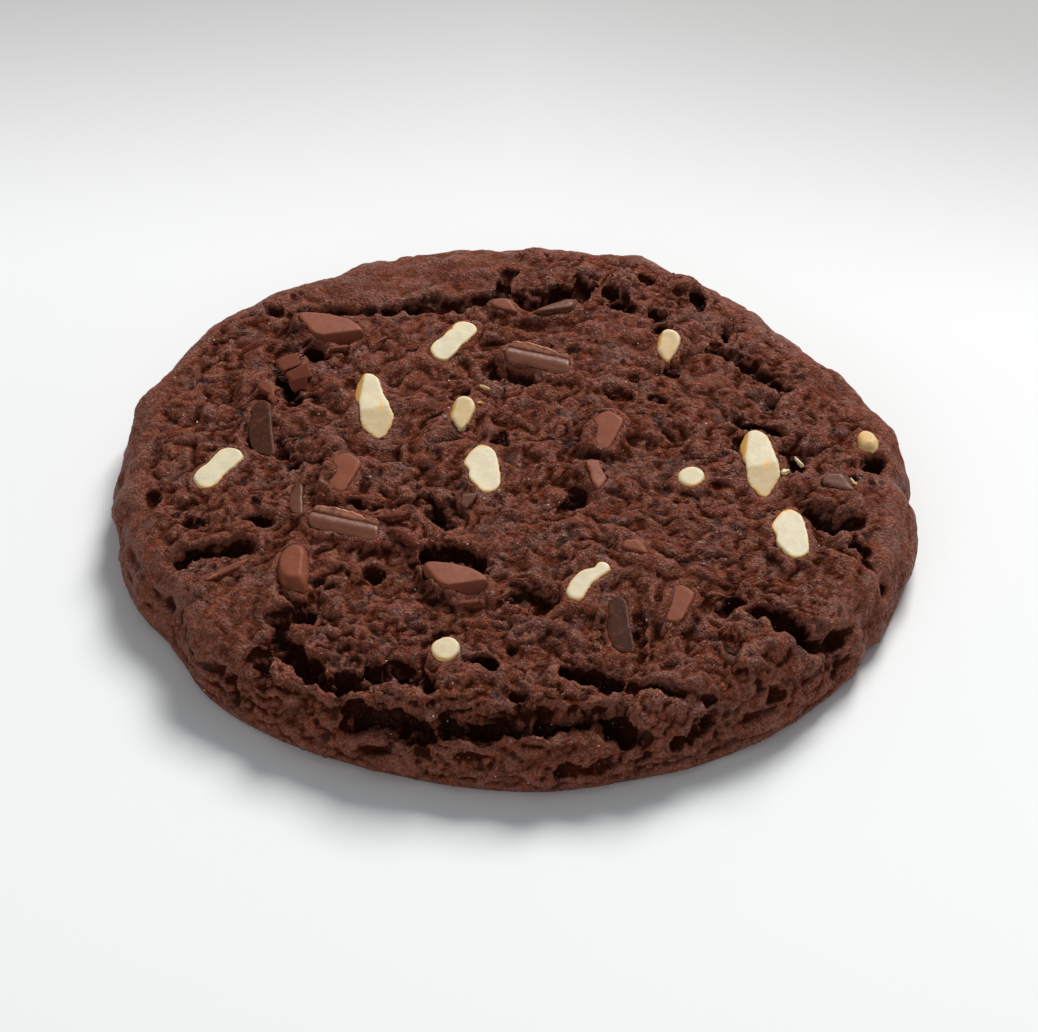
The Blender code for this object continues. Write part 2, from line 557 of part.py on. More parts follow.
def chip_mesh(name, form, size, gap=0.0):
    """One piece from its outline, narrowed upwards and downwards and cut; with a gap, the pocket round it."""
    outline = trace(form["outline"], CHIP_SIDES, form.get("sharp", False))
    middle = outline.mean(axis=0)
    bm = bmesh.new()
    bmesh.ops.create_uvsphere(bm, u_segments=CHIP_SIDES, v_segments=CHIP_RINGS, radius=1.0)
    for vert in bm.verts:
        turn = math.atan2(vert.co.y, vert.co.x) / math.tau
        narrow = (1.0 - min(abs(vert.co.z), 1.0) ** form["side"]) ** (1.0 / form["side"])
        x, y = middle + (outline[round(turn * CHIP_SIDES) % CHIP_SIDES] - middle) * narrow
        vert.co = (x, y, vert.co.z * form["thickness"] / 2)
    for *normal, distance in form["faces"]:
        normal = Vector(normal).normalized()
        bmesh.ops.bisect_plane(
            bm,
            geom=bm.verts[:] + bm.edges[:] + bm.faces[:],
            dist=0.001,
            plane_co=normal * distance,
            plane_no=normal,
            clear_outer=True,
        )
        bmesh.ops.holes_fill(bm, edges=[edge for edge in bm.edges if edge.is_boundary])
    bmesh.ops.remove_doubles(bm, verts=bm.verts, dist=0.02)
    bmesh.ops.scale(bm, vec=(size, size, size), verts=bm.verts)
    bmesh.ops.recalc_face_normals(bm, faces=bm.faces)
    bm.normal_update()
    for vert, push in [(vert, vert.normal * gap) for vert in bm.verts]:
        vert.co += push
    return finish_mesh(name, bm)


def placed(x, y, heading, raised, lift):
    """The place of a piece on the dough's top, turned to its heading, with its far side raised."""
    spot = Vector(on_top(x, y)) + Vector((0.0, 0.0, lift))
    turn = Matrix.Rotation(math.radians(raised), 4, "X") @ Matrix.Rotation(math.radians(heading), 4, "Z")
    return Matrix.Translation(spot) @ turn


def make_piece(name, row, collection, gap=0.0):
    """One piece, or one pocket, from its row of sizes."""
    form_name, x, y, size, heading, raised, lift = row
    mesh = chip_mesh(name, FORMS[form_name], size, gap)
    place = placed(x, y, heading, raised, lift)
    mesh.transform(Matrix.Scale(MM, 4) @ place @ Matrix.Scale(1.0 / MM, 4))
    return new_object(name, mesh, collection)


def rim_of(row):
    """The outline of a piece as it lies, with the height of its upper side just inside of it."""
    form_name, x, y, size, heading, raised, lift, _ = row
    form = FORMS[form_name]
    outline = trace(form["outline"], RIM_POINTS, form.get("sharp", False))
    inner = outline + (outline.mean(axis=0) - outline) * EDGE_INSET
    tops = np.full(RIM_POINTS, form["thickness"] / 2)
    for *normal, distance in form["faces"]:
        normal = np.array(normal)
        tops = np.minimum(tops, (distance * np.linalg.norm(normal) - inner @ normal[:2]) / normal[2])
    tops = np.maximum(tops, 0.0)
    place = placed(x, y, heading, raised, lift)
    rim = np.array([place @ Vector((*edge, 0.0)) for edge in outline * size])
    rim[:, 2] = [(place @ Vector((*spot, top))).z for spot, top in zip(inner * size, tops * size)]
    return rim


def inside_outline(points, rim):
    """Which points lie inside the outline, seen from above."""
    inside = np.zeros(len(points), dtype=bool)
    for (ax, ay, _), (bx, by, _) in zip(rim, np.roll(rim, -1, axis=0)):
        between = (ay > points[:, 1]) != (by > points[:, 1])
        crossing = ax + (points[:, 1] - ay) / np.where(between, by - ay, 1.0) * (bx - ax)
        inside ^= between & (points[:, 0] < crossing)
    return inside


def bed_shares(points):
    """How much each point belongs to the bed of a chocolate piece, and the height of that bed."""
    share, height = np.zeros(len(points)), np.zeros(len(points))
    for row in (row for rows in PIECES.values() for row in rows):
        rim, step_down = rim_of(row), row[-1]
        middle = rim.mean(axis=0)
        reach = np.linalg.norm(rim - middle, axis=1).max() + BED_REACH
        close = np.linalg.norm((points - middle)[:, :2], axis=1) < reach
        near = np.nonzero(close & (points[:, 2] > RIM_HEIGHT / 2))[0]
        apart = np.linalg.norm(points[near, None, :2] - rim[None, :, :2], axis=2)
        gap = apart.min(axis=1)
        weights = 1.0 / np.maximum(apart, CLOSEST) ** NEAR_POWER
        level = (weights * rim[None, :, 2]).sum(axis=1) / weights.sum(axis=1) - step_down
        within = inside_outline(points[near], rim)
        level -= np.where(within, gap * BED_SLOPE, 0.0)
        part = np.where(within, 1.0, smooth_step(1.0 - gap / BED_REACH))
        stronger = part > share[near]
        share[near] = np.where(stronger, part, share[near])
        height[near] = np.where(stronger, level - points[near, 2], height[near])
    return share, height


# ---------------------------------------------------------------- the cookie
def make_dough(parts, pockets):
    """The dough with its flakes joined on and a pocket cut for every piece."""
    dough = new_object("dough", dough_mesh(), parts)
    thin = dough.modifiers.new("Thin", "DECIMATE")
    thin.ratio = DOUGH_TRIANGLES / sum(len(face.vertices) - 2 for face in dough.data.polygons)
    apply_modifiers(dough)
    flatten_base(dough)

    flakes = new_collection("flakes")
    for number, row in enumerate(FLAKES, start=1):
        make_piece(f"flake_{number:02d}", row, flakes)
    join = dough.modifiers.new("Join flakes", "BOOLEAN")
    join.operation = "UNION"
    join.operand_type = "COLLECTION"
    join.collection = flakes
    join.solver = "MANIFOLD"    # the exact solver leaves edges of four faces where the cracks are steep
    apply_modifiers(dough)
    for flake in list(flakes.objects):
        bpy.data.objects.remove(flake)
    bpy.data.collections.remove(flakes)

    cut = dough.modifiers.new("Pockets", "BOOLEAN")
    cut.operation = "DIFFERENCE"
    cut.operand_type = "COLLECTION"
    cut.collection = pockets
    cut.solver = "MANIFOLD"
    apply_modifiers(dough)
    drop_scraps(dough)
    dough.data.materials.append(plain_material("dough", *FINISHES["dough"]))


def make_chocolate(parts, pockets):
    """Every chocolate piece, with a slightly larger cutter for its pocket."""
    for kind, rows in PIECES.items():
        for number, row in enumerate(rows, start=1):
            name = f"{kind}_chunk_{number:02d}"
            *place, _ = row
            piece = make_piece(name, place, parts)
            piece.data.materials.append(plain_material(name, *FINISHES[kind]))
            cutter = make_piece(f"pocket_{name}", place, pockets, POCKET_GAP)
            cutter.hide_render = True
            cutter.display_type = "WIRE"


def main():
    for obj in list(bpy.data.objects):
        bpy.data.objects.remove(obj)
    parts = new_collection("triple_chocolate_cookie")
    pockets = new_collection("pockets")
    make_chocolate(parts, pockets)
    make_dough(parts, pockets)


main()
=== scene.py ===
"""Looks of the triple chocolate cookie: crumbly cocoa dough, chocolate pieces, loose crumbs and soft light.

Lengths in the tables are millimetres and angles are degrees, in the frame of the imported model: +Z up, the
origin at the middle of the flat base, and -Y towards the camera.
"""
import math

import bmesh
import bpy
import numpy as np
from mathutils import Matrix, Vector, noise
from mathutils.bvhtree import BVHTree


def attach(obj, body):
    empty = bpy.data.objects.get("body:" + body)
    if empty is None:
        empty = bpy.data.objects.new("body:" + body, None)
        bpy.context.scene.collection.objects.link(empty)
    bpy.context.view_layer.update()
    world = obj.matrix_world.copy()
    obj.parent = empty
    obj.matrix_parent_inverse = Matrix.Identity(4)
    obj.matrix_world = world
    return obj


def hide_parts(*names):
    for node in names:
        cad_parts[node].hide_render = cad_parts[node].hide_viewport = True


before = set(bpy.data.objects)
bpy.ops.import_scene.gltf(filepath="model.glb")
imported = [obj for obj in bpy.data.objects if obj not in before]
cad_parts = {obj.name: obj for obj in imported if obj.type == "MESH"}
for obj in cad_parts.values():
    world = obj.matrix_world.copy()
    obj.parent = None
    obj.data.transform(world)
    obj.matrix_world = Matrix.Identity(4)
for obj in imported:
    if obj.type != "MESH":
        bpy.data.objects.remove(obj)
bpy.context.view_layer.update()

MM = 0.001
BODY = "root"

# ---------------------------------------------------------------- camera, light and floor
VIEW_ELEVATION = 39.0       # how far the camera looks down
VIEW_DISTANCE = 600.0
VIEW_TARGET = (0.5, 0.0, 2.75)
VIEW_WIDTH = 116.5          # width of the view at the target
SENSOR_WIDTH = 36.0

KEY_FROM = (285.0, 705.0, 721.0)    # the large soft light behind the cookie, to the right
KEY_SIZE = 420.0
KEY_POWER = 12.5
KEY_COLOUR = (1.0, 0.985, 0.96)
FILL_FROM = (-200.0, -700.0, 200.0)
FILL_SIZE = 500.0
FILL_POWER = 1.3
FILL_COLOUR = (0.93, 0.97, 1.0)
SKY_COLOUR = (0.97, 0.99, 1.0)
SKY_STRENGTH = 0.245

FLOOR_SIZE = 3000.0
# The floor's colour holds painted light and shade: painted lighter towards the front, and painted greyer
# behind the cookie as shade.
FLOOR_FRONT_COLOUR = (0.925, 0.948, 0.960)
FLOOR_COLOUR = (0.865, 0.883, 0.892)    # nearer to the light ...
FLOOR_NEARS = (-70.0, 45.0)             # ... into which the front fades over this stretch
FLOOR_SHADE = (50.0, 131.0)             # behind the cookie the floor turns greyer over this stretch ...
FLOOR_SHADE_SKEW = 0.12     # ... which starts nearer on the right ...
FLOOR_SHADE_SIDES = 0.17    # ... and nearer on both sides than in the middle
FLOOR_SHADE_COLOUR = (0.43, 0.435, 0.435)

# ---------------------------------------------------------------- the dough disc
COOKIE_RADIUS = 45.0        # radius of the widest ring, before the swells
RIM_HEIGHT = 9.0            # height of the top at its edge
CENTRE_HEIGHT = 11.8        # height of the top in the middle
SHOULDER_RUN = 5.0          # how far the rounded shoulder reaches in from the widest ring
WIDEST_HEIGHT = 2.8         # height of the widest ring
FOOT_RUN = 1.6              # how far the edge of the flat base lies inside the widest ring

# The outline is not round: (angle, spread, how far the rim stands out there).
RIM_SWELLS = [
    (1.5, 2.2, -1.2),
    (40.0, 13.0, -2.8),
    (72.0, 14.0, 1.2),
    (142.0, 24.0, 2.0),
    (188.0, 9.0, -0.5),
    (209.0, 9.0, -1.8),
    (250.0, 22.0, -1.3),
    (286.0, 8.0, -0.5),
    (331.0, 2.5, -0.8),
]

# Broad mounds and hollows of the top: (x, y, radius, height).
MOUNDS = [
    (-17.0, 36.0, 9.0, 0.9),    # the smooth raised band at the rear left
    (-6.0, 37.5, 6.0, 0.8),
    (4.0, 37.0, 3.6, 0.9),      # lumps of the broken rear edge
    (13.0, 35.5, 3.6, 0.9),
    (19.5, 34.5, 2.6, 0.8),
    (29.0, 25.0, 6.0, 0.7),     # the smooth band outside the crack at the right
    (36.0, -4.5, 4.2, 1.2),     # the lump between the right hollow and the drop
    (26.5, -31.0, 4.4, 1.2),    # lumps along the lower right fissure
    (32.5, -23.0, 4.0, 0.9),
    (-33.0, -24.0, 6.0, 0.6),
    (-8.0, -38.0, 5.0, 1.1),    # the lip over the front fissure
    (-16.0, -38.5, 4.0, 0.9),
    (2.0, -38.5, 4.0, 1.0),
    (15.0, -39.5, 4.0, 0.8),
    (-33.0, -8.0, 4.0, 0.7),
    (10.0, 24.0, 9.0, -0.4),
    (-12.0, -26.0, 8.0, -0.5),
]

# Cracks, gaps and pits of the top: (half width, depth, the points that its middle runs through).
CREASES = [
    (1.01, 2.6, [(-25.0, 29.2), (-23.0, 29.5), (-15.0, 28.5), (-9.0, 30.5), (-5.5, 30.0)]),
    (0.94, 2.8, [(-5.5, 30.0), (-2.0, 31.5), (-0.5, 37.0)]),
    (2.0, 3.6, [(1.0, 31.5), (6.0, 33.0)]),
    (0.86, 2.2, [(7.5, 34.0), (10.0, 38.0)]),
    (1.09, 2.6, [(11.0, 33.0), (12.0, 31.5)]),
    (0.78, 1.8, [(13.5, 30.0), (18.0, 29.0)]),
    (0.75, 2.4, [(24.0, 28.0), (24.5, 25.0), (23.5, 22.0), (28.5, 17.5), (30.5, 15.0), (29.0, 11.5)]),
    (0.94, 1.8, [(16.5, 26.5), (17.5, 26.5)]),
    (2.1, 2.0, [(-2.0, 15.5), (0.0, 14.5)]),
    (1.01, 1.5, [(10.5, 12.5), (12.0, 12.0)]),
    (0.78, 1.8, [(25.0, 8.0), (28.5, 6.5), (30.0, 5.0)]),
    (1.17, 2.4, [(40.4, 2.4), (40.2, 0.8)]),
    (1.48, 2.2, [(33.0, -8.0), (35.0, -10.0), (38.0, -8.5)]),
    (0.78, 2.0, [(37.5, -11.0), (39.5, -15.0), (41.0, -17.0)]),
    (1.01, 1.6, [(21.0, -24.0), (24.0, -23.0)]),
    (1.4, 3.6, [(27.5, -24.5), (31.5, -28.0), (34.0, -27.5), (36.5, -25.0)]),
    (0.78, 1.6, [(22.5, -28.0), (24.5, -34.0), (26.0, -34.5)]),
    (1.01, 2.6, [(5.5, -34.0), (8.0, -35.0)]),
    (0.78, 2.0, [(8.0, -35.0), (13.5, -36.5), (21.0, -37.0)]),
    (0.94, 1.5, [(15.0, -23.5), (15.0, -25.0)]),
    (1.33, 1.6, [(7.0, -6.0), (5.0, -10.0)]),
    (2.3, 2.0, [(1.0, -23.0), (3.0, -24.0)]),
    (0.8, 0.9, [(-41.0, -3.0), (-40.5, -4.0)]),
    (0.78, 2.2, [(-24.5, 1.0), (-24.0, -1.0)]),
    (1.4, 2.0, [(-36.5, -14.8), (-33.0, -13.2), (-29.5, -13.5)]),
    (1.25, 3.2, [(-22.5, -25.0), (-25.5, -25.5), (-24.5, -30.0)]),
    (1.17, 3.6, [(-24.5, -30.0), (-20.0, -35.0)]),
    (1.4, 3.2, [(-28.0, -31.0), (-27.0, -33.0)]),
    (1.33, 3.6, [(-18.5, -35.0), (-16.0, -36.0), (-15.0, -34.5), (-12.5, -34.0), (-9.5, -36.5)]),
    (0.94, 1.8, [(-5.0, -32.5), (-2.5, -34.0)]),
    (0.86, 1.6, [(-8.0, -29.0), (-7.0, -29.0)]),
    (1.17, 1.5, [(-15.5, -19.0), (-16.5, -20.0)]),
    (1.09, 2.4, [(-9.0, -16.0), (-5.5, -16.5), (-4.0, -18.0)]),
    (2.3, 2.8, [(-8.8, -7.4), (-7.6, -10.6)]),
    (0.86, 1.8, [(-31.0, -31.5), (-30.5, -33.0)]),
    (2.0, 4.5, [(-17.0, -39.0), (-12.0, -40.5), (0.0, -41.5), (10.0, -41.0)]),
    (1.17, 3.4, [(11.0, -41.5), (14.0, -41.5)]),
    (0.78, 2.4, [(17.5, -41.0), (23.0, -37.5)]),
    (0.8, 2.4, [(-22.4, 21.6), (-22.2, 19.8)]),
    (0.94, 2.6, [(-26.5, 19.0), (-25.5, 14.0), (-25.0, 11.0)]),
    (0.78, 1.8, [(-7.0, 11.5), (-6.0, 11.0)]),
]

# Finer ones, which only the looks show.
FINE_CREASES = [
    (0.5, 1.2, [(-28.5, 31.0), (-25.0, 29.2)]),
    (0.86, 1.8, [(15.5, 36.0), (16.5, 35.5)]),
    (0.7, 1.8, [(19.0, 33.5), (21.5, 33.0), (21.5, 31.0)]),
    (0.62, 1.6, [(18.0, 18.0), (18.0, 17.0)]),
    (1.01, 1.2, [(14.0, 15.5), (15.0, 15.0)]),
    (0.7, 1.1, [(15.5, 10.5), (16.5, 10.0)]),
    (1.2, 2.4, [(30.6, 2.6), (31.7, 0.6), (31.4, -1.2)]),
    (0.47, 1.2, [(34.0, -3.0), (35.5, -3.5), (37.0, -2.5)]),
    (0.62, 1.8, [(9.5, -27.5), (9.5, -30.0)]),
    (0.47, 1.4, [(13.0, -26.0), (13.0, -30.5)]),
    (0.7, 1.5, [(19.0, -18.0), (19.5, -18.0)]),
    (0.86, 1.1, [(18.0, -7.0), (19.0, -7.0)]),
    (0.7, 1.6, [(28.0, -7.0), (28.5, -7.5)]),
    (0.7, 1.6, [(0.0, -37.0), (0.0, -39.0)]),
    (0.55, 1.2, [(-38.0, -6.5), (-36.0, -9.0), (-33.0, -10.0)]),
    (0.62, 1.8, [(-28.5, -6.0), (-28.0, -9.5)]),
    (0.7, 1.4, [(-39.0, -16.0), (-38.5, -16.5)]),
    (0.55, 1.4, [(-26.0, -15.5), (-25.0, -22.0)]),
    (0.55, 1.2, [(-10.5, -17.5), (-9.0, -20.5)]),
    (0.62, 1.9, [(-7.5, -23.6), (-7.2, -25.6)]),
    (1.01, 1.2, [(-18.5, -7.0), (-15.5, -8.5)]),
    (0.62, 1.8, [(-30.0, 7.0), (-29.5, 4.0)]),
    (0.7, 1.8, [(-5.5, 4.5), (-5.0, 3.0)]),
    (0.7, 1.6, [(-2.0, 4.5), (-2.0, 3.0)]),
    (0.7, 1.9, [(-11.0, -17.2), (-7.0, -18.0), (-3.4, -19.8)]),
    (0.9, 2.0, [(-7.0, 9.8), (-7.2, 8.2)]),
    (0.9, 2.0, [(16.5, 24.2), (16.3, 22.6)]),
    (0.6, 1.6, [(18.2, 18.6), (18.6, 17.2)]),
    (0.9, 1.9, [(-8.8, -30.0), (-7.4, -29.4)]),
    (0.62, 2.0, [(25.2, 4.8), (25.1, 2.4)]),
    (0.5, 1.8, [(-18.0, 14.0), (-18.2, 11.8)]),
    (0.47, 1.4, [(-21.8, -16.8), (-21.6, -21.0), (-22.6, -23.4), (-24.6, -23.0)]),
    (0.6, 2.2, [(-26.6, 7.0), (-25.9, 2.0)]),
    (0.55, 1.9, [(13.0, -26.0), (13.3, -32.0)]),
]

# Thin ledges in the side: (half width, depth, first angle, first height, last angle, last height).
LEDGES = [
    (0.8, 1.1, -64.0, 6.3, -36.0, 5.2),
    (0.7, 1.0, -60.0, 4.3, -30.0, 3.4),
    (0.7, 0.9, 190.0, 6.0, 226.0, 5.4),
    (0.6, 0.8, 196.0, 3.8, 232.0, 3.4),
    (0.9, 1.3, -118.0, 3.8, -92.0, 4.4),
    (0.9, 1.2, -84.0, 3.4, -70.0, 4.2),
]
LEDGE_STEP = 6.0            # degrees between the points that a ledge is traced through

# Lumpiness of the dough: (size of a lump, how far it stands out, where in the noise it is read).
CRAGS = [
    (9.0, 0.55, 3.0),
    (4.0, 0.55, 17.0),
    (2.2, 0.25, 41.0),
]
# Noises in rows of the same kind: how far a crack wanders, how ragged its edge is, and how unevenly it is
# filled with crumbs.
WANDER = [
    (4.5, 0.8, 11.0),
    (1.5, 0.4, 29.0),
]
RAGGED = [
    (2.0, 0.45, 71.0),
    (0.8, 0.50, 23.0),
]
FILLED = [(3.0, 0.5, 53.0)]
USUAL_OPEN = 0.9            # share of its depth that a crack has after that ...
LEAST_OPEN = 0.5            # ... and the least and the most of it
MOST_OPEN = 1.2
CRACK_DEPTH = 1.6           # a crack this deep is as rough and as full of crumbs as any
CRACK_BOOST = 0.6           # how much rougher the dough is there
CALM_HEIGHT = 1.4           # below this height the relief dies away, so that the base stays flat

# Where the baked skin stayed whole and smoother: (x, y, radius, share of the roughness that goes).
SMOOTH_SKIN = [
    (-17.0, 36.0, 9.0, 0.85),
    (-6.0, 38.0, 7.0, 0.8),
    (-27.0, 32.0, 6.0, 0.4),
    (29.0, 26.0, 6.0, 0.5),
    (36.0, 17.0, 5.0, 0.45),
    (41.0, -6.0, 5.0, 0.4),
    (-31.0, -23.0, 6.0, 0.4),
    (16.0, -23.0, 5.0, 0.35),
    (-14.0, 15.0, 8.0, 0.3),
    (12.0, 20.0, 9.0, 0.35),
    (34.0, -29.0, 6.0, 0.45),
    (25.0, -37.0, 6.0, 0.45),
]

RIM_SKIN = (0.1, 0.78)      # the same for the rim and side, at the front and at the rear ...
RIM_SKIN_FROM = 0.88        # ... from this share of the radius outwards ...
RIM_SKIN_SPAN = 0.08        # ... and fading in over this share
FRONT_END = (-40.0, -12.0)  # the front fades into the rear between these places
FRONT_BOOST = 0.2           # how much rougher the front is

TOP_RINGS = 124             # rings of the disc, from its middle to the edge of its top
SHOULDER_RINGS = 22         # rings from there down to the widest ring
FOOT_RINGS = 9              # rings from there down to the base

# ---------------------------------------------------------------- the chocolate pieces
DROP_FACES = [(0.0, 0.0, 1.0, 1.05), (0.05, -0.22, 0.97, 1.2), (-0.8, 0.1, 0.6, 1.9)]

# Each form: the outline of its widest level, seen from above; whether that outline is sharp; its
# thickness; the power of its side's profile; and its flat broken faces as (x, y, z, distance) of their
# planes.
FORMS = {
    "bean": dict(
        outline=[(1.2, 3.0), (2.4, 2.5), (2.75, 1.3), (2.0, 0.1), (0.9, -1.2), (0.2, -2.4), (-0.85, -3.6),
                 (-2.1, -3.3), (-2.85, -1.8), (-2.3, -0.5), (-1.4, 0.4), (-0.6, 1.6), (0.2, 2.7)],
        thickness=3.2, side=2.6, faces=[(0.0, 0.0, 1.0, 0.85)],
    ),
    "bone": dict(
        outline=[(1.5, 2.85), (2.2, 2.4), (2.35, 1.45), (1.1, 0.15), (0.3, -0.7), (-0.3, -1.9), (-1.0, -3.1),
                 (-2.1, -2.95), (-2.6, -1.9), (-2.3, -0.5), (-1.45, 0.8), (-0.55, 1.6), (0.6, 1.9),
                 (0.9, 2.5)],
        thickness=2.8, side=2.6, faces=[(0.0, 0.0, 1.0, 0.8)],
    ),
    "drop": dict(
        outline=[(-0.3, 5.0), (0.9, 4.2), (1.6, 2.0), (2.1, -0.3), (2.25, -2.0), (1.5, -3.7), (0.6, -5.2),
                 (-0.2, -4.7), (-1.3, -3.2), (-1.7, 0.0), (-2.1, 2.6), (-1.5, 4.4)],
        thickness=3.8, side=3.0, faces=DROP_FACES,
    ),
    "pinched drop": dict(
        outline=[(-0.7, 5.0), (0.4, 4.2), (1.05, 1.8), (1.8, -0.2), (2.35, -2.2), (1.75, -3.8), (0.9, -5.2),
                 (0.1, -4.8), (-1.3, -3.2), (-1.75, 0.0), (-2.3, 2.5), (-1.7, 4.5)],
        thickness=3.8, side=3.0, faces=DROP_FACES,
    ),
    "small drop": dict(
        outline=[(0.05, 2.3), (0.9, 1.9), (1.35, 0.9), (1.2, -0.3), (0.65, -1.6), (-0.25, -2.9), (-0.9, -2.2),
                 (-1.45, -1.1), (-1.5, 0.0), (-1.15, 1.3), (-0.65, 2.1)],
        thickness=3.0, side=2.6, faces=[(0.0, -0.12, 1.0, 1.0), (-0.8, 0.1, 0.6, 1.35)],
    ),
    "nugget": dict(
        outline=[(-0.1, 3.8), (1.3, 2.7), (1.75, 0.6), (1.95, -1.0), (1.9, -2.9), (1.1, -3.9), (0.0, -4.0),
                 (-0.9, -2.9), (-1.7, -1.5), (-1.7, -0.3), (-2.25, 0.8), (-1.3, 2.9)],
        thickness=3.6, side=3.0, faces=[(0.0, 0.0, 1.0, 1.0)],
    ),
    "pip": dict(
        outline=[(0.0, 1.5), (1.0, 1.15), (1.55, 0.15), (1.3, -0.95), (0.5, -1.9), (-0.5, -1.9),
                 (-1.35, -1.2), (-1.65, -0.1), (-1.2, 0.9)],
        thickness=2.8, side=2.6, faces=[(0.0, 0.0, 1.0, 0.95)],
    ),
    "oval": dict(
        outline=[(-0.4, 1.7), (0.5, 1.35), (1.1, 0.4), (1.25, -0.6), (0.9, -1.5), (0.1, -1.7), (-0.8, -1.5),
                 (-1.2, -0.6), (-1.25, 0.4), (-1.0, 1.3)],
        thickness=2.4, side=2.2, faces=[(0.0, 0.1, 1.0, 1.05)],
    ),
    "wedge": dict(
        outline=[(-3.9, 2.6), (-2.0, 2.6), (0.4, 2.1), (1.9, 1.5), (3.0, 0.7), (3.7, -0.3), (3.6, -1.1),
                 (2.7, -1.8), (1.6, -2.1), (0.2, -2.0), (-1.3, -1.7), (-2.4, -1.0), (-3.2, 0.3), (-4.0, 1.6)],
        thickness=4.4, side=3.0, faces=[(0.02, 0.0, 1.0, 1.4), (0.19, -0.8, 0.55, 1.83)],
    ),
    "crusted": dict(
        outline=[(0.1, 2.9), (1.3, 2.3), (2.0, 1.4), (1.7, 0.2), (1.0, -1.4), (0.2, -3.0), (-0.9, -2.9),
                 (-2.2, -2.2), (-2.0, -0.8), (-1.5, 0.7), (-1.2, 1.9)],
        thickness=3.2, side=3.4, faces=[(-0.1, 0.0, 1.0, 1.0), (0.6, -0.15, 0.75, 1.8)],
    ),
    "shard": dict(
        outline=[(-1.4, 0.3), (-1.0, 0.8), (1.0, 1.0), (1.2, 0.0), (1.5, -1.1), (0.0, -0.8), (-1.4, -0.3)],
        sharp=True, thickness=1.8, side=6.0, faces=[(0.05, -0.1, 1.0, 0.6), (0.5, 0.2, 0.8, 0.85)],
    ),
    "tile": dict(
        outline=[(-1.05, 1.9), (0.55, 1.95), (0.85, 0.6), (1.45, -0.8), (0.95, -2.0), (0.4, -2.6),
                 (-0.3, -1.4), (-0.6, 0.2)],
        sharp=True, thickness=2.4, side=5.0, faces=[(0.12, 0.0, 1.0, 0.9)],
    ),
    "flake": dict(
        outline=[(-1.35, 0.3), (1.2, 1.35), (1.5, -0.4), (-0.45, -1.2)],
        sharp=True, thickness=1.2, side=6.0, faces=[(0.0, 0.0, 1.0, 0.45)],
    ),
    "pebble": dict(
        outline=[(0.1, 3.6), (1.0, 3.1), (1.4, 1.7), (1.6, -0.5), (1.5, -2.4), (1.1, -3.5), (0.0, -3.3),
                 (-1.1, -2.4), (-1.75, -0.95), (-1.9, 0.6), (-1.65, 2.0), (-0.9, 3.2)],
        thickness=3.4, side=2.3, faces=[(-0.15, 0.05, 0.95, 1.35), (0.62, 0.0, 0.75, 1.6)],
    ),
    "blade": dict(
        outline=[(-0.5, 4.2), (0.4, 3.9), (0.85, 2.8), (1.05, 0.4), (1.3, -2.0), (1.5, -4.4), (0.5, -4.4),
                 (-0.4, -4.0), (-1.1, -2.8), (-1.4, -1.0), (-1.45, 1.0), (-1.3, 3.0)],
        thickness=4.6, side=5.0, faces=[(-0.08, 0.0, 1.0, 1.2)],
    ),
    "tongue": dict(
        outline=[(1.4, 1.5), (2.2, 0.8), (1.6, -0.3), (-0.4, -0.8), (-3.1, -1.3), (-1.4, 0.1), (0.2, 0.9)],
        thickness=2.4, side=2.6, faces=[(0.0, 0.0, 1.0, 0.9)],
    ),
    "curl": dict(
        outline=[(-3.6, 2.1), (-2.4, 2.5), (-0.6, 2.4), (1.0, 1.7), (2.6, 0.8), (3.7, 0.45), (4.0, 0.1),
                 (3.9, -2.0), (3.6, -2.35), (2.4, -2.2), (0.6, -1.6), (-1.4, -0.9), (-3.4, -0.4),
                 (-3.9, 0.8)],
        thickness=3.4, side=4.0, faces=[(0.0, -0.12, 1.0, 1.1)],
    ),
    "splinter": dict(
        outline=[(-2.9, -0.4), (-1.2, 0.3), (0.8, 0.5), (3.0, 0.35), (3.6, 0.0), (1.6, -0.5), (-0.8, -0.6),
                 (-2.9, -0.7)],
        thickness=2.6, side=4.0, faces=[(0.0, -0.3, 1.0, 0.8)],
    ),
    "needle": dict(
        outline=[(-3.2, -0.2), (-1.2, 0.15), (0.4, 0.4), (1.6, 0.35), (3.2, 0.15), (1.8, -0.25), (0.2, -0.4),
                 (-1.6, -0.35)],
        thickness=2.4, side=4.0, faces=[(0.0, -0.2, 1.0, 0.8)],
    ),
}

# Lines that run along a curl's upper side: (y, width, height, how ragged).
FURROWS = [(1.52, 0.36, 0.50, 0.9), (1.02, 0.14, -0.50, 0.0), (-0.05, 0.90, 0.30, 0.0)]
FURROW_FALL = 0.28          # how steeply they run towards the front
FURROW_FADE = 0.5           # they fade in over this height above the curl's middle
FURROW_NOISE = [(0.7, 1.0, 5.0)]    # how uneven they are, as a noise
# Painted light, in part: the crest of the first line takes the second colour, the frayed edge's own paler
# colour made brighter to stand in for the light it catches.
CREST_SPREAD = 1.2          # how far the second colour spreads over the first line
BODY_TINT = 0.15            # how much of the second colour a curl has away from that line
STREAK = (0.85, -0.8, 1.0, 0.16)    # the toasted streak on the drops: x, y, length and half width
STREAK_NOISE = [(0.5, 0.32, 3.0)]   # how it winds
STREAK_END = 1.4            # how many half widths away it ends

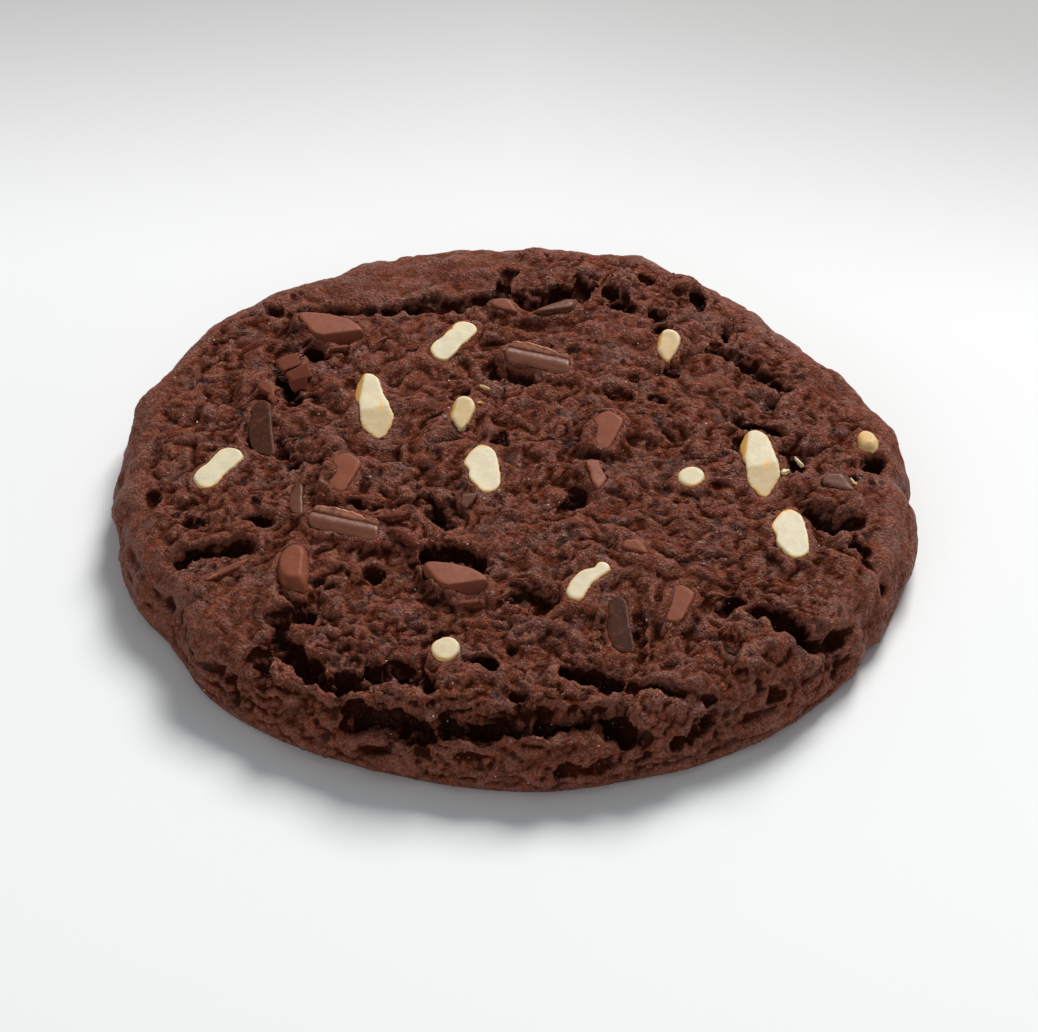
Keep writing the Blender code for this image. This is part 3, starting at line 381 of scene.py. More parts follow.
# Each piece: form, x, y, size, heading, how much its far side is raised, how far its middle lies above
# the plain disc, how far the dough at its edge stays below its upper side, and how much it has of the
# second colour of its chocolate.
PIECES = {
    "white": [
        ("bean", -6.95, 22.0, 1.0, 0, 8, -0.5, 0.1, 0.0),
        ("pinched drop", -15.85, 9.1, 1.0, 0, 6, -0.3, 0.15, 0.1),
        ("small drop", -5.7, 7.1, 1.0, 0, 8, 0.0, 0.2, 0.45),
        ("bean", -32.95, -0.15, 1.0, 0, 8, -0.5, 0.1, 0.0),
        ("nugget", -3.45, -2.95, 1.0, 0, 6, -0.5, 0.1, 0.0),
        ("small drop", 17.7, 21.25, 1.0, 0, 8, 0.0, 0.2, 0.45),
        ("pip", 19.6, -3.5, 1.0, 0, 6, -0.4, 0.05, 0.1),
        ("drop", 27.25, -0.35, 1.0, 0, 6, -0.3, 0.2, 0.1),
        ("oval", 39.65, 5.2, 1.0, 0, 5, -0.1, 0.25, 1.0),
        ("nugget", 30.3, -12.1, 1.0, 0, 6, -0.5, 0.1, 0.0),
        ("bone", 8.1, -21.2, 1.0, 0, 8, -0.4, 0.1, 0.0),
        ("pip", -7.3, -31.6, 1.05, 0, 8, -0.2, 0.15, 0.2),
    ],
    "milk": [
        ("wedge", -21.0, 24.3, 1.0, 0, 4, -0.3, 0.12, 0.0),
        ("crusted", -19.0, -3.2, 1.05, 0, 8, -0.3, 0.15, 0.0),
        ("shard", -1.2, 28.6, 1.05, 0, 10, 0.2, 0.25, 0.0),
        ("crusted", 10.2, 3.8, 1.05, 0, 8, -0.3, 0.15, 0.0),
        ("tile", 8.8, -3.9, 1.0, 0, 8, -0.2, 0.15, 0.0),
        ("shard", 13.1, -15.9, 1.0, 0, 8, 0.0, 0.1, 0.0),
        ("crusted", 17.6, -24.7, 0.95, 0, 8, -0.2, 0.2, 0.0),
        ("wedge", -6.2, -21.4, 0.92, 0, 4, -0.3, 0.12, 0.0),
        ("pebble", -23.85, -18.7, 1.0, 0, 8, 0.0, 0.45, 0.0),
        ("needle", -31.3, -17.9, 1.0, 33, 0, -0.2, 0.1, 1.0),
    ],
    "dark": [
        ("blade", -28.3, 6.5, 1.04, 0, 6, -1.0, 0.15, 0.0),
        ("curl", 2.5, 16.9, 0.95, 0, 4, -0.2, 0.15, 1.0),
        ("curl", -18.8, -12.4, 1.0, 0, 4, -0.2, 0.15, 1.0),
        ("blade", 11.4, -27.5, 0.98, 0, 6, -1.0, 0.15, 0.0),
        ("tongue", 5.0, 28.4, 1.0, 0, 0, -0.2, 0.25, 0.09),
        ("blade", -24.0, -6.5, 0.6, -4, 4, -0.7, 0.0, 0.08),
        ("shard", 35.9, -3.2, 1.25, 0, 8, 0.2, 0.15, 0.09),
    ],
}

# Slivers and flakes, in rows like those above. The larger milk and dark ones are part of the dough's solid.
SLIVERS = {
    "milk": [
        ("flake", -25.9, 17.9, 1.0, 0, 20, 0.3, 0.2, 0.15),
        ("flake", -24.6, 15.4, 1.05, 8, 28, 0.3, 0.2, 0.0),
        ("flake", -24.6, 14.0, 0.8, -4, 44, 0.1, 0.2, 0.5),
        ("shard", -28.0, 13.4, 0.8, -20, 12, 0.1, 0.3, 0.1),
        ("shard", -27.3, 11.2, 0.5, -45, 15, 0.2, 0.3, 0.1),
        ("shard", 6.7, -12.0, 0.55, 25, 15, 0.2, 0.3, 0.2),
        ("shard", 7.6, -14.2, 0.35, 0, 12, 0.2, 0.3, 0.2),
        ("splinter", -20.1, 20.6, 0.4, 5, 0, 0.2, 0.2, 0.2),
        ("splinter", -15.3, 22.0, 0.25, 40, 0, 0.2, 0.2, 0.2),
        ("splinter", -5.0, -24.9, 0.4, 5, 0, 0.2, 0.2, 0.2),
        ("splinter", -1.0, -23.6, 0.25, 40, 0, 0.2, 0.2, 0.2),
        ("needle", -13.6, -11.3, 0.75, 6, 10, 0.4, 0.2, 1.0),
        ("splinter", -12.0, -14.4, 0.6, -45, 10, 0.3, 0.2, 1.0),
    ],
    "dark": [
        ("shard", -5.1, -8.1, 0.8, 75, 20, -0.2, 0.3, 0.1),
    ],
    "white": [
        ("splinter", 31.7, 0.2, 0.28, 118, 0, 0.3, 0.3, 0.3),
        ("splinter", 37.6, -3.1, 0.2, 112, 0, 0.8, 0.3, 0.2),
        ("splinter", -3.4, 11.9, 0.22, -35, 0, 0.3, 0.3, 1.0),
        ("shard", -3.9, 8.6, 0.22, 30, 0, 0.5, 0.3, 0.6),
        ("shard", 19.4, 22.3, 0.22, 10, 0, 0.5, 0.3, 0.6),
        ("shard", 30.0, -1.9, 0.3, 60, 0, 0.4, 0.3, 0.2),
    ],
}

# Dough that climbs onto a piece or falls away from it: (x, y, radius, height).
SETTLED = [
    (-20.3, -3.2, 1.3, 1.9),
    (-20.9, -5.3, 1.2, 1.3),
    (8.8, 3.6, 1.3, 1.6),
    (8.6, 1.7, 1.1, 1.4),
    (16.4, -24.4, 1.3, 2.1),
    (16.0, -26.2, 1.0, 1.3),
    (-30.4, 7.6, 1.0, 1.3),
    (9.1, -26.0, 0.9, 1.2),
    (-31.3, -17.9, 1.4, -0.35),
    (-32.6, -18.7, 1.2, -0.3),
]

CHIP_SIDES = 64             # points round a piece before it is remeshed
CHIP_RINGS = 32             # rings of them from its top to its bottom
CUT_REACH = 0.001           # a point this near to a cut counts as on it
MERGE_REACH = 0.01          # points this near to each other become one

# How a piece is finished: the size of its mesh cells, the rounds of smoothing of its broken edges, and how
# ragged its sides are. Then the same for a sliver.
CHIP_FINISH = (0.14, 8, 0.24)
SLIVER_FINISH = (0.07, 2, 0.35)

# On the white chocolate the toasted side is also painted golden, as a painted glow.
FRINGE_SIDE = (-0.6, 0.75, 0.1)     # the side of the pieces that is toasted most ...
FRINGE_FACING = (0.3, 0.3)          # ... from facing it this much, and fully when this much more
FRINGE_WIDTH = 0.25         # how much wider the toasted edge is on that side
FARTHEST_GAP = 1.5          # how far from the dough a piece is looked at for that
# Painted shade: the front of a piece is painted nearer to its second colour.
SHADED_SIDE = (0.0, -0.87, 0.49)    # the side that is nearer to the second colour ...
SHADED_FACING = (0.6, 0.3)          # ... in the same way
EDGE_INSET = 0.14           # share of the way in from its outline where the height of its edge is read
NEAR_POWER = 4              # how much more the nearest edge counts for the height of the dough beside it
CLOSEST = 0.05              # no point counts as nearer to an edge than this
RIM_EVENING = 3             # how many neighbours on each side even the height of an edge
PROBE_HEIGHT = 100.0        # the height that the probes for it start from
BED_REACH = 1.6             # the dough settles round a piece over this distance ...
BED_SLOPE = 1.2             # ... and falls away this steeply under it
UNDER_CALM = 0.6            # from this far under a piece the dough has no relief
CRUMB_CLIMB = 0.10          # how much higher the crumb stands at a piece than the plain dough ...
CLIMB_NOISE = [(0.9, 0.34, 5.0)]    # ... and how uneven that is

# ---------------------------------------------------------------- colours and crumbs
# Painted shade darkens the dough between its crumbs, and deep in its cracks and hollows, where its own colour
# is darker too.
DEEP_BROWN = (0.030, 0.0065, 0.0025)    # the dough deep in its cracks
SOOT_BROWN = (0.034, 0.008, 0.003)      # its dark spots
GAP_BROWN = (0.030, 0.006, 0.002)       # the gaps between its crumbs
SPECK_BROWN = (0.130, 0.038, 0.020)     # the specks of it on the chocolate
# Right at the dough a piece is darker: singed, and painted shade where piece and dough meet.
SINGE_AND_SHADE = (0.55, 0.32, 0.25)     # how much red, green and blue of the toasted colour are left at the dough

# Each chocolate, and the sugar: its own colour, its second one, its toasted edge with its width and its
# strength (on the white chocolate painted golden as a glow, and darkest right at the dough, partly as painted
# shade), its broken edges painted lighter as highlights, its roughness, how much the front has of the second
# colour as painted shade, how much dough sticks to it, how glossy its own and its second colour are, and how
# light spreads inside it.
CHOCOLATES = {
    "white": dict(
        name="white chocolate", base=(0.76, 0.67, 0.46), tinted=(0.66, 0.41, 0.15),
        toast_and_glow=(0.93, 0.50, 0.09), toast_reach=0.36, toast_share=0.95, edge_highlight=(0.82, 0.75, 0.56),
        roughness=0.5, shaded=0.75, dust=0.0, glosses=(0.3, 0.3),
        inside={"Subsurface Weight": 0.35, "Subsurface Scale": 0.0009, "Subsurface Radius": (1.0, 0.7, 0.35)},
    ),
    "milk": dict(
        name="milk chocolate", base=(0.262, 0.074, 0.038), tinted=(0.140, 0.032, 0.016),
        toast_and_glow=(0.10, 0.032, 0.018), toast_reach=0.15, toast_share=0.6, edge_highlight=(0.36, 0.115, 0.060),
        roughness=0.5, shaded=0.6, dust=0.3, glosses=(0.12, 0.12),
    ),
    "dark": dict(
        name="dark chocolate", base=(0.056, 0.017, 0.0085), tinted=(0.860, 0.290, 0.155),
        toast_and_glow=(0.035, 0.012, 0.007), toast_reach=0.15, toast_share=0.5, edge_highlight=(0.42, 0.170, 0.095),
        roughness=0.40, shaded=0.0, dust=0.6, glosses=(0.05, 0.36),
    ),
    "sugar": dict(
        name="sugar grains", base=(0.80, 0.72, 0.62), tinted=(0.80, 0.72, 0.62),
        toast_and_glow=(0.45, 0.25, 0.15), toast_reach=0.02, toast_share=0.0, edge_highlight=(0.9, 0.85, 0.8),
        roughness=0.3, shaded=0.0, dust=0.0, glosses=(0.35, 0.35),
    ),
}

# What is strewn over the dough: its material, how many lie on a square millimetre, how many more in a
# crack, how wide they are, how deep they sink in, how uneven they are, and their seed.
STREWN = {
    "small_crumbs": ("crumbs", dict(
        density=0.55, crack_density=1.2, smallest=0.3, largest=0.8, sink=0.45, uneven=0.18, seed=7,
    )),
    "large_crumbs": ("crumbs", dict(
        density=0.13, crack_density=0.45, smallest=0.7, largest=1.6, sink=0.5, uneven=0.26, facets=2, seed=19,
    )),
    "sugar_grains": ("sugar", dict(
        density=0.03, crack_density=0.0, smallest=0.14, largest=0.3, sink=0.0, uneven=0.04, seed=31,
    )),
}


# ---------------------------------------------------------------- forms
def rim_radius(angle):
    """Radius of the widest ring at each angle."""
    radius = np.full_like(angle, COOKIE_RADIUS)
    for centre, spread, swell in RIM_SWELLS:
        apart = (angle - centre + 180.0) % 360.0 - 180.0
        radius += swell * np.exp(-(apart / spread) ** 2)
    return radius


def smooth_body(angle, lap):
    """Points of the plain disc: lap 0 is the top's middle, 1 its edge, 2 the widest ring, 3 the foot."""
    turn = np.clip(lap - 1.0, 0.0, 1.0) * math.pi / 2
    tuck = np.clip(lap - 2.0, 0.0, 1.0) * math.pi / 2
    inward = np.clip(lap, 0.0, 1.0)
    radius = (rim_radius(angle) - SHOULDER_RUN) * inward
    radius += SHOULDER_RUN * np.sin(turn) - FOOT_RUN * (1.0 - np.cos(tuck))
    height = RIM_HEIGHT + (CENTRE_HEIGHT - RIM_HEIGHT) * (1.0 - inward ** 2)
    height -= (RIM_HEIGHT - WIDEST_HEIGHT) * (1.0 - np.cos(turn)) + WIDEST_HEIGHT * np.sin(tuck)
    turned = np.radians(angle)
    return np.stack([radius * np.cos(turned), radius * np.sin(turned), height], axis=-1)


def on_top(x, y):
    """The point of the plain disc's top or shoulder above (x, y)."""
    angle = math.degrees(math.atan2(y, x))
    top_edge = float(rim_radius(np.array([angle]))[0]) - SHOULDER_RUN
    reach = math.hypot(x, y)
    if reach <= top_edge:
        height = RIM_HEIGHT + (CENTRE_HEIGHT - RIM_HEIGHT) * (1.0 - (reach / top_edge) ** 2)
    else:
        over = min((reach - top_edge) / SHOULDER_RUN, 1.0)
        height = WIDEST_HEIGHT + (RIM_HEIGHT - WIDEST_HEIGHT) * math.sqrt(1.0 - over ** 2)
    return x, y, height


def on_side(angle, height):
    """The point of the plain disc's shoulder at an angle and a height."""
    rise = (height - WIDEST_HEIGHT) / (RIM_HEIGHT - WIDEST_HEIGHT)
    radius = float(rim_radius(np.array([angle]))[0]) - SHOULDER_RUN * (1.0 - math.sqrt(1.0 - rise ** 2))
    return radius * math.cos(math.radians(angle)), radius * math.sin(math.radians(angle)), height


def noise_field(points, size, offset):
    """Smooth noise from about -1 to 1 at each point, with features of the given size."""
    start = Vector((offset, offset, offset))
    return np.array([noise.noise(Vector(point) / size + start) for point in points])


def noises(points, rows):
    """The sum of several noises, in rows of (size of a feature, height, where in the noise it is read)."""
    return sum(height * noise_field(points, size, offset) for size, height, offset in rows)


def gap_to_path(points, path):
    """Distance from each point to a path of straight runs."""
    nearest = np.full(len(points), np.inf)
    for start, end in zip(path[:-1], path[1:]):
        start, run = np.array(start), np.array(end) - np.array(start)
        along = np.clip((points - start) @ run / (run @ run), 0.0, 1.0)
        nearest = np.minimum(nearest, np.linalg.norm(points - start - along[:, None] * run, axis=1))
    return nearest


def ledge_path(first_angle, first_height, last_angle, last_height):
    """Points along a ledge in the side."""
    steps = max(2, round(abs(last_angle - first_angle) / LEDGE_STEP) + 1)
    angles = np.linspace(first_angle, last_angle, steps)
    heights = np.linspace(first_height, last_height, steps)
    return [on_side(angle, height) for angle, height in zip(angles, heights)]


def swell(points, x, y, radius):
    """1 at a place of the top, fading away from it over the radius."""
    return np.exp(-(np.linalg.norm(points - np.array(on_top(x, y)), axis=1) / radius) ** 2)


def lumps(points):
    """Height of the lumps and mounds at each point of the plain disc."""
    relief = noises(points, CRAGS)
    for x, y, radius, height in MOUNDS:
        relief += height * swell(points, x, y, radius)
    return relief


def wandered(points):
    """The points moved by a slow and a quick noise, so that straight runs wind."""
    moved = points.copy()
    for size, reach, offset in WANDER:
        for axis in range(3):
            moved[:, axis] += reach * noise_field(points, size, offset + 10.0 * axis)
    return moved


def cracks(points):
    """Depth of the cracks, gaps and ledges at each point of the plain disc."""
    ragged = noises(points, RAGGED)
    filled = np.clip(USUAL_OPEN + noises(points, FILLED), LEAST_OPEN, MOST_OPEN)
    places = wandered(points)
    lines = CREASES + FINE_CREASES
    lines = [(half, depth, [on_top(*point) for point in path]) for half, depth, path in lines]
    lines += [(half, depth, ledge_path(*ends)) for half, depth, *ends in LEDGES]
    cut = np.zeros(len(points))
    for half, depth, path in lines:
        share = np.clip((gap_to_path(places, path) + ragged) / half, 0.0, 1.0)
        cut = np.maximum(cut, depth * smooth_step(1.0 - share))
    return cut * filled


def smooth_step(value):
    """0 up to 0, 1 from 1, and an even rise between."""
    value = np.clip(value, 0.0, 1.0)
    return value * value * (3.0 - 2.0 * value)


# ---------------------------------------------------------------- meshes
def finish_mesh(name, bm):
    """A smooth-shaded mesh from a bmesh in millimetres, with its faces pointing out."""
    bmesh.ops.recalc_face_normals(bm, faces=bm.faces)
    bmesh.ops.scale(bm, vec=(MM, MM, MM), verts=bm.verts)
    for face in bm.faces:
        face.smooth = True
    mesh = bpy.data.meshes.new(name)
    bm.to_mesh(mesh)
    bm.free()
    return mesh


def new_object(name, data):
    """An object in the scene, with a mesh, a camera or a light as its data."""
    obj = bpy.data.objects.new(name, data)
    bpy.context.scene.collection.objects.link(obj)
    return obj


def apply_modifiers(obj):
    """Replace the object's mesh by its evaluated one and drop the modifiers."""
    graph = bpy.context.evaluated_depsgraph_get()
    mesh = bpy.data.meshes.new_from_object(obj.evaluated_get(graph), depsgraph=graph)
    obj.modifiers.clear()
    obj.data = mesh


def store(mesh, **numbers):
    """Keep numbers for the points of the mesh, by their names."""
    for name, values in numbers.items():
        attribute = mesh.attributes.new(name, "FLOAT", "POINT")
        attribute.data.foreach_set("value", np.asarray(values, dtype=np.float32))


def points_of(mesh):
    """The mesh's points, in millimetres."""
    flat = np.empty(len(mesh.vertices) * 3, dtype=np.float32)
    mesh.vertices.foreach_get("co", flat)
    return flat.reshape(-1, 3).astype(float) / MM


def move_points(mesh, points):
    """Move the mesh's points to these places, in millimetres."""
    mesh.vertices.foreach_set("co", (points * MM).astype(np.float32).ravel())
    mesh.update()


def normals_of(mesh):
    """The direction that each point of the mesh faces."""
    return np.array([tuple(item.vector) for item in mesh.vertex_normals])


def surface_tree(mesh):
    """A tree that finds the nearest place on the mesh, in millimetres."""
    return BVHTree.FromPolygons(points_of(mesh).tolist(), [tuple(face.vertices) for face in mesh.polygons])


def signed_gap(tree, point, reach):
    """How far a point lies outside the tree's surface, negative inside, or reach where it is further."""
    place, normal, _, gap = tree.find_nearest(point, reach)
    if place is None:
        return reach
    return gap if (Vector(point) - place).dot(normal) > 0.0 else -gap


# ---------------------------------------------------------------- node trees
class Wiring:
    """A node tree that is being wired. Most calls add a node and give back one of its outputs."""

    def __init__(self, tree):
        self.tree = tree
        self.shapes = tree.bl_idname == "GeometryNodeTree"

    def fill(self, node, values):
        """Set a node's inputs to plain values or link them to the outputs of other nodes."""
        for socket, value in values.items():
            if isinstance(value, bpy.types.NodeSocket):
                self.tree.links.new(value, node.inputs[socket])
            else:
                node.inputs[socket].default_value = value

    def add(self, kind, values=None, out=0, **settings):
        """Add any node. Without an out, all of its outputs come back."""
        node = self.tree.nodes.new(kind)
        for setting, value in settings.items():
            setattr(node, setting, value)
        self.fill(node, values or {})
        return node.outputs if out is None else node.outputs[out]

    def maths(self, operation, first, second=0.0, third=0.0, clamp=False):
        values = {0: first, 1: second, 2: third}
        return self.add("ShaderNodeMath", values, operation=operation, use_clamp=clamp)

    def plus(self, first, second):
        return self.maths("ADD", first, second)

    def minus(self, first, second):
        return self.maths("SUBTRACT", first, second)

    def times(self, first, second):
        return self.maths("MULTIPLY", first, second)

    def vectors(self, operation, first, second, out=0):
        return self.add("ShaderNodeVectorMath", {0: first, 1: second}, out, operation=operation)

    def dot(self, first, second):
        return self.vectors("DOT_PRODUCT", first, second, out="Value")

    def scaled(self, vector, factor):
        return self.add("ShaderNodeVectorMath", {0: vector, 3: factor}, operation="SCALE")

    def ramp(self, value, low, high, start=0.0, end=1.0):
        """Goes smoothly from the start, at the low value, to the end, at the high one."""
        values = {0: value, 1: low, 2: high, 3: start, 4: end}
        return self.add("ShaderNodeMapRange", values, interpolation_type="SMOOTHSTEP")

    def noise(self, vector, size, detail=2.0, roughness=0.5, out=0):
        scale = self.maths("DIVIDE", 1.0, size)
        values = {"Vector": vector, "Scale": scale, "Detail": detail, "Roughness": roughness}
        return self.add("ShaderNodeTexNoise", values, out)

    def stir(self, vector, size, detail):
        """A noise vector about zero."""
        return self.vectors("SUBTRACT", self.noise(vector, size, detail, out=1), (0.5, 0.5, 0.5))

    def cells(self, vector, size, out=0):
        scale = self.maths("DIVIDE", 1.0, size)
        return self.add("ShaderNodeTexVoronoi", {"Vector": vector, "Scale": scale}, out)

    def mix(self, share, first, second):
        """From the first colour to the second, which may be plain ones of red, green and blue."""
        first, second = ((*part, 1.0) if isinstance(part, tuple) else part for part in (first, second))
        return self.add("ShaderNodeMix", {0: share, 6: first, 7: second}, 2, data_type="RGBA")

    def stained(self, body, *stains):
        """A colour with others laid over it in turn, each given as its share and itself."""
        for share, stain in stains:
            body = self.mix(share, body, stain)
        return body

    def bump(self, height, depth):
        """A normal from a height, whose full range stands for the depth in millimetres."""
        return self.add("ShaderNodeBump", {"Height": height, "Distance": depth * MM})

    def place(self):
        """The place on the surface, in millimetres."""
        if self.shapes:
            place = self.add("GeometryNodeInputPosition")
        else:
            place = self.add("ShaderNodeTexCoord", out="Object")
        return self.scaled(place, 1.0 / MM)

    def kept(self, name):
        """A number that is kept on the mesh."""
        if self.shapes:
            return self.add("GeometryNodeInputNamedAttribute", {"Name": name}, data_type="FLOAT")
        return self.add("ShaderNodeAttribute", out="Fac", attribute_name=name)

    def keep(self, geometry, name, value, domain="POINT"):
        """The geometry with one more number kept on it."""
        values = {"Geometry": geometry, "Name": name, "Value": value}
        return self.add("GeometryNodeStoreNamedAttribute", values, data_type="FLOAT", domain=domain)

    def standing_out(self, rounds):
        """How far each point stands out of its surroundings, in millimetres. More rounds look wider."""
        place = self.add("GeometryNodeInputPosition")
        values = {"Value": place, "Iterations": rounds}
        around = self.add("GeometryNodeBlurAttribute", values, data_type="FLOAT_VECTOR")
        level = self.dot(self.vectors("SUBTRACT", place, around), self.add("GeometryNodeInputNormal"))
        return self.maths("DIVIDE", level, MM)


SOCKET_KINDS = {float: "Float", int: "Int", tuple: "Vector"}


def new_tree(name, kind, outputs, **inputs):
    """The wiring of a new node group, with what it is given and what it gives.

    An input without a value is of the kind that its name says, and so is an output named Geometry. The
    other outputs are numbers.
    """
    tree = bpy.data.node_groups.new(name, kind)
    for label, value in inputs.items():
        label = label.replace("_", " ")
        socket_type = "NodeSocket" + (label if value is None else SOCKET_KINDS[type(value)])
        socket = tree.interface.new_socket(name=label, in_out="INPUT", socket_type=socket_type)
        if value is not None:
            socket.default_value = value
    for label in outputs:
        socket_type = "NodeSocket" + (label if label == "Geometry" else "Float")
        tree.interface.new_socket(name=label, in_out="OUTPUT", socket_type=socket_type)
    given = tree.nodes.new("NodeGroupInput").outputs
    wanted = tree.nodes.new("NodeGroupOutput").inputs
    return Wiring(tree), given, wanted


def new_shape_tree(name, **numbers):
    """The same for a tree that shapes a mesh and gives it a material."""
    return new_tree(name, "GeometryNodeTree", ["Geometry"], Geometry=None, **numbers, Material=None)


def finish_shape_tree(wire, shape, given, wanted):
    """Paint the shape and hand it out of its tree."""
    painted = wire.add("GeometryNodeSetMaterial", {"Geometry": shape, "Material": given["Material"]})
    wire.tree.links.new(painted, wanted["Geometry"])
    return wire.tree


def shape_with(obj, tree, **values):
    """Run a Geometry Nodes tree on the object, with its named inputs set, and keep the plain mesh."""
    modifier = obj.modifiers.new(tree.name, "NODES")
    modifier.node_group = tree
    for item in tree.interface.items_tree:
        label = item.name.lower().replace(" ", "_")
        if item.in_out == "INPUT" and label in values:
            modifier[item.identifier] = values.pop(label)
    if values:
        raise ValueError(f"{tree.name} has no inputs named {sorted(values)}")
    apply_modifiers(obj)


def crumb_relief_tree():
    """Gives the dough its lumps, knobs, crumbs, grain and pits."""
    wire, given, wanted = new_shape_tree(
        "Crumb relief", Warp=1.0, Lump_size=5.5, Lump_height=1.25, Knob_size=2.4, Knob_height=0.44,
        Crumb_size=1.2, Crumb_height=0.19, Grain_size=0.75, Grain_height=0.10, Pit_spacing=3.4, Pit_depth=0.7,
    )

    # The mesh is evened first, so that the few points in the walls of the cracks don't stand in rows.
    values = {"Value": wire.add("GeometryNodeInputPosition"), "Iterations": 3, "Weight": wire.kept("calm")}
    evened = wire.add("GeometryNodeBlurAttribute", values, data_type="FLOAT_VECTOR")
    evened = wire.add("GeometryNodeSetPosition", {"Geometry": given["Geometry"], "Position": evened})

    # Read closer together upwards, the same noise gives the side its flat layers.
    layered = (1.0 / MM, 1.0 / MM, 2.0 / MM)
    place = wire.vectors("MULTIPLY", wire.add("GeometryNodeInputPosition"), layered)
    stir = wire.stir(place, 2.6, 2.0)
    warped = wire.vectors("ADD", place, wire.scaled(stir, wire.times(given["Warp"], 2.0)))

    def billows(label, detail):
        """Rounded lumps with sharp creases between them."""
        wave = wire.maths("ABSOLUTE", wire.minus(wire.noise(warped, given[f"{label} size"], detail), 0.5))
        return wire.times(wire.maths("MULTIPLY_ADD", wave, 4.0, -0.5), given[f"{label} height"])

    lumps = wire.times(billows("Lump", 2.0), wire.kept("open"))
    patches = wire.ramp(wire.noise(place, 8.0, 1.0), 0.40, 0.62, 0.35, 1.25)
    knobs = wire.times(billows("Knob", 2.0), patches)
    knobs = wire.times(knobs, wire.maths("MULTIPLY_ADD", wire.kept("open"), 0.4, 0.6))
    crumbs = billows("Crumb", 0.0)
    cells = wire.cells(wire.vectors("ADD", place, wire.scaled(stir, 0.8)), given["Grain size"])
    grain = wire.times(wire.minus(0.45, cells), given["Grain height"])
    pits = wire.ramp(wire.cells(warped, given["Pit spacing"]), 0.10, 0.32, 1.0, 0.0)
    rare = wire.ramp(wire.noise(place, 4.5, 1.0), 0.58, 0.72)
    pits = wire.times(wire.times(pits, rare), given["Pit depth"])

    plain = wire.minus(1.0, wire.kept("skin"))
    fine = wire.plus(wire.plus(crumbs, grain), wire.plus(lumps, knobs))
    fine = wire.times(fine, wire.times(wire.kept("rugged"), plain))
    relief = wire.times(wire.minus(fine, wire.times(pits, plain)), wire.kept("calm"))
    push = wire.scaled(wire.add("GeometryNodeInputNormal"), wire.times(relief, MM))
    shaped = wire.add("GeometryNodeSetPosition", {"Geometry": evened, "Offset": push})

    # How far each point stands out, near and wide, is kept for the materials, which paint light on the tips
    # and shade in the hollows.
    shaped = wire.keep(shaped, "stand_out", wire.standing_out(5))
    shaped = wire.keep(shaped, "deep", wire.standing_out(60))
    return finish_shape_tree(wire, shaped, given, wanted)


def crumb_scatter_tree():
    """Strews crumbs over the dough, thickest in the cracks and thinnest on smooth skin."""
    wire, given, wanted = new_shape_tree(
        "Crumb scatter", Density=1.0, Crack_density=3.0, Smallest=0.3, Largest=0.8, Sink=0.2, Uneven=0.12,
        Facets=1, Seed=1,
    )

    def drawn(low, high):
        """A number or a vector drawn for each crumb between two others."""
        kind, out = ("FLOAT_VECTOR", 0) if isinstance(low, tuple) else ("FLOAT", 1)
        values = {"Min": low, "Max": high, "Seed": given["Seed"]}
        return wire.add("FunctionNodeRandomValue", values, out, data_type=kind)

    density = wire.maths("MULTIPLY_ADD", wire.kept("crack"), given["Crack density"], given["Density"])
    bare = wire.ramp(wire.kept("skin"), 0.1, 0.75, 1.0, 0.0)
    patchy = wire.ramp(wire.noise(wire.place(), 3.0, 2.0), 0.35, 0.65)
    density = wire.times(wire.times(density, bare), patchy)
    density = wire.times(density, wire.times(wire.kept("calm"), 1.0 / MM ** 2))
    values = {"Mesh": given["Geometry"], "Density": density, "Seed": given["Seed"]}
    strewn = wire.add("GeometryNodeDistributePointsOnFaces", values, out=None)

    share = wire.maths("POWER", drawn(0.0, 1.0), 2.0)
    span = wire.minus(given["Largest"], given["Smallest"])
    radius = wire.times(wire.maths("MULTIPLY_ADD", share, span, given["Smallest"]), MM / 2)
    lower = wire.scaled(strewn["Normal"], wire.times(radius, wire.times(given["Sink"], -1.0)))
    values = {
        "Points": wire.add("GeometryNodeSetPosition", {"Geometry": strewn["Points"], "Offset": lower}),
        "Instance": wire.add("GeometryNodeMeshIcoSphere", {"Radius": 1.0, "Subdivisions": given["Facets"]}),
        "Rotation": drawn((0.0, 0.0, 0.0), (6.28, 6.28, 6.28)),
        "Scale": wire.scaled(drawn((0.7, 0.7, 0.55), (1.3, 1.1, 0.9)), radius),
    }
    crumbs = wire.add("GeometryNodeInstanceOnPoints", values)
    crumbs = wire.keep(crumbs, "tone", drawn(0.0, 1.0), "INSTANCE")
    crumbs = wire.add("GeometryNodeRealizeInstances", {"Geometry": crumbs})
    jag = wire.scaled(wire.stir(wire.place(), 0.45, 1.0), wire.times(given["Uneven"], 2.0 * MM))
    crumbs = wire.add("GeometryNodeSetPosition", {"Geometry": crumbs, "Offset": jag})
    crumbs = wire.add("GeometryNodeSetShadeSmooth", {"Geometry": crumbs, "Shade Smooth": True})
    return finish_shape_tree(wire, crumbs, given, wanted)


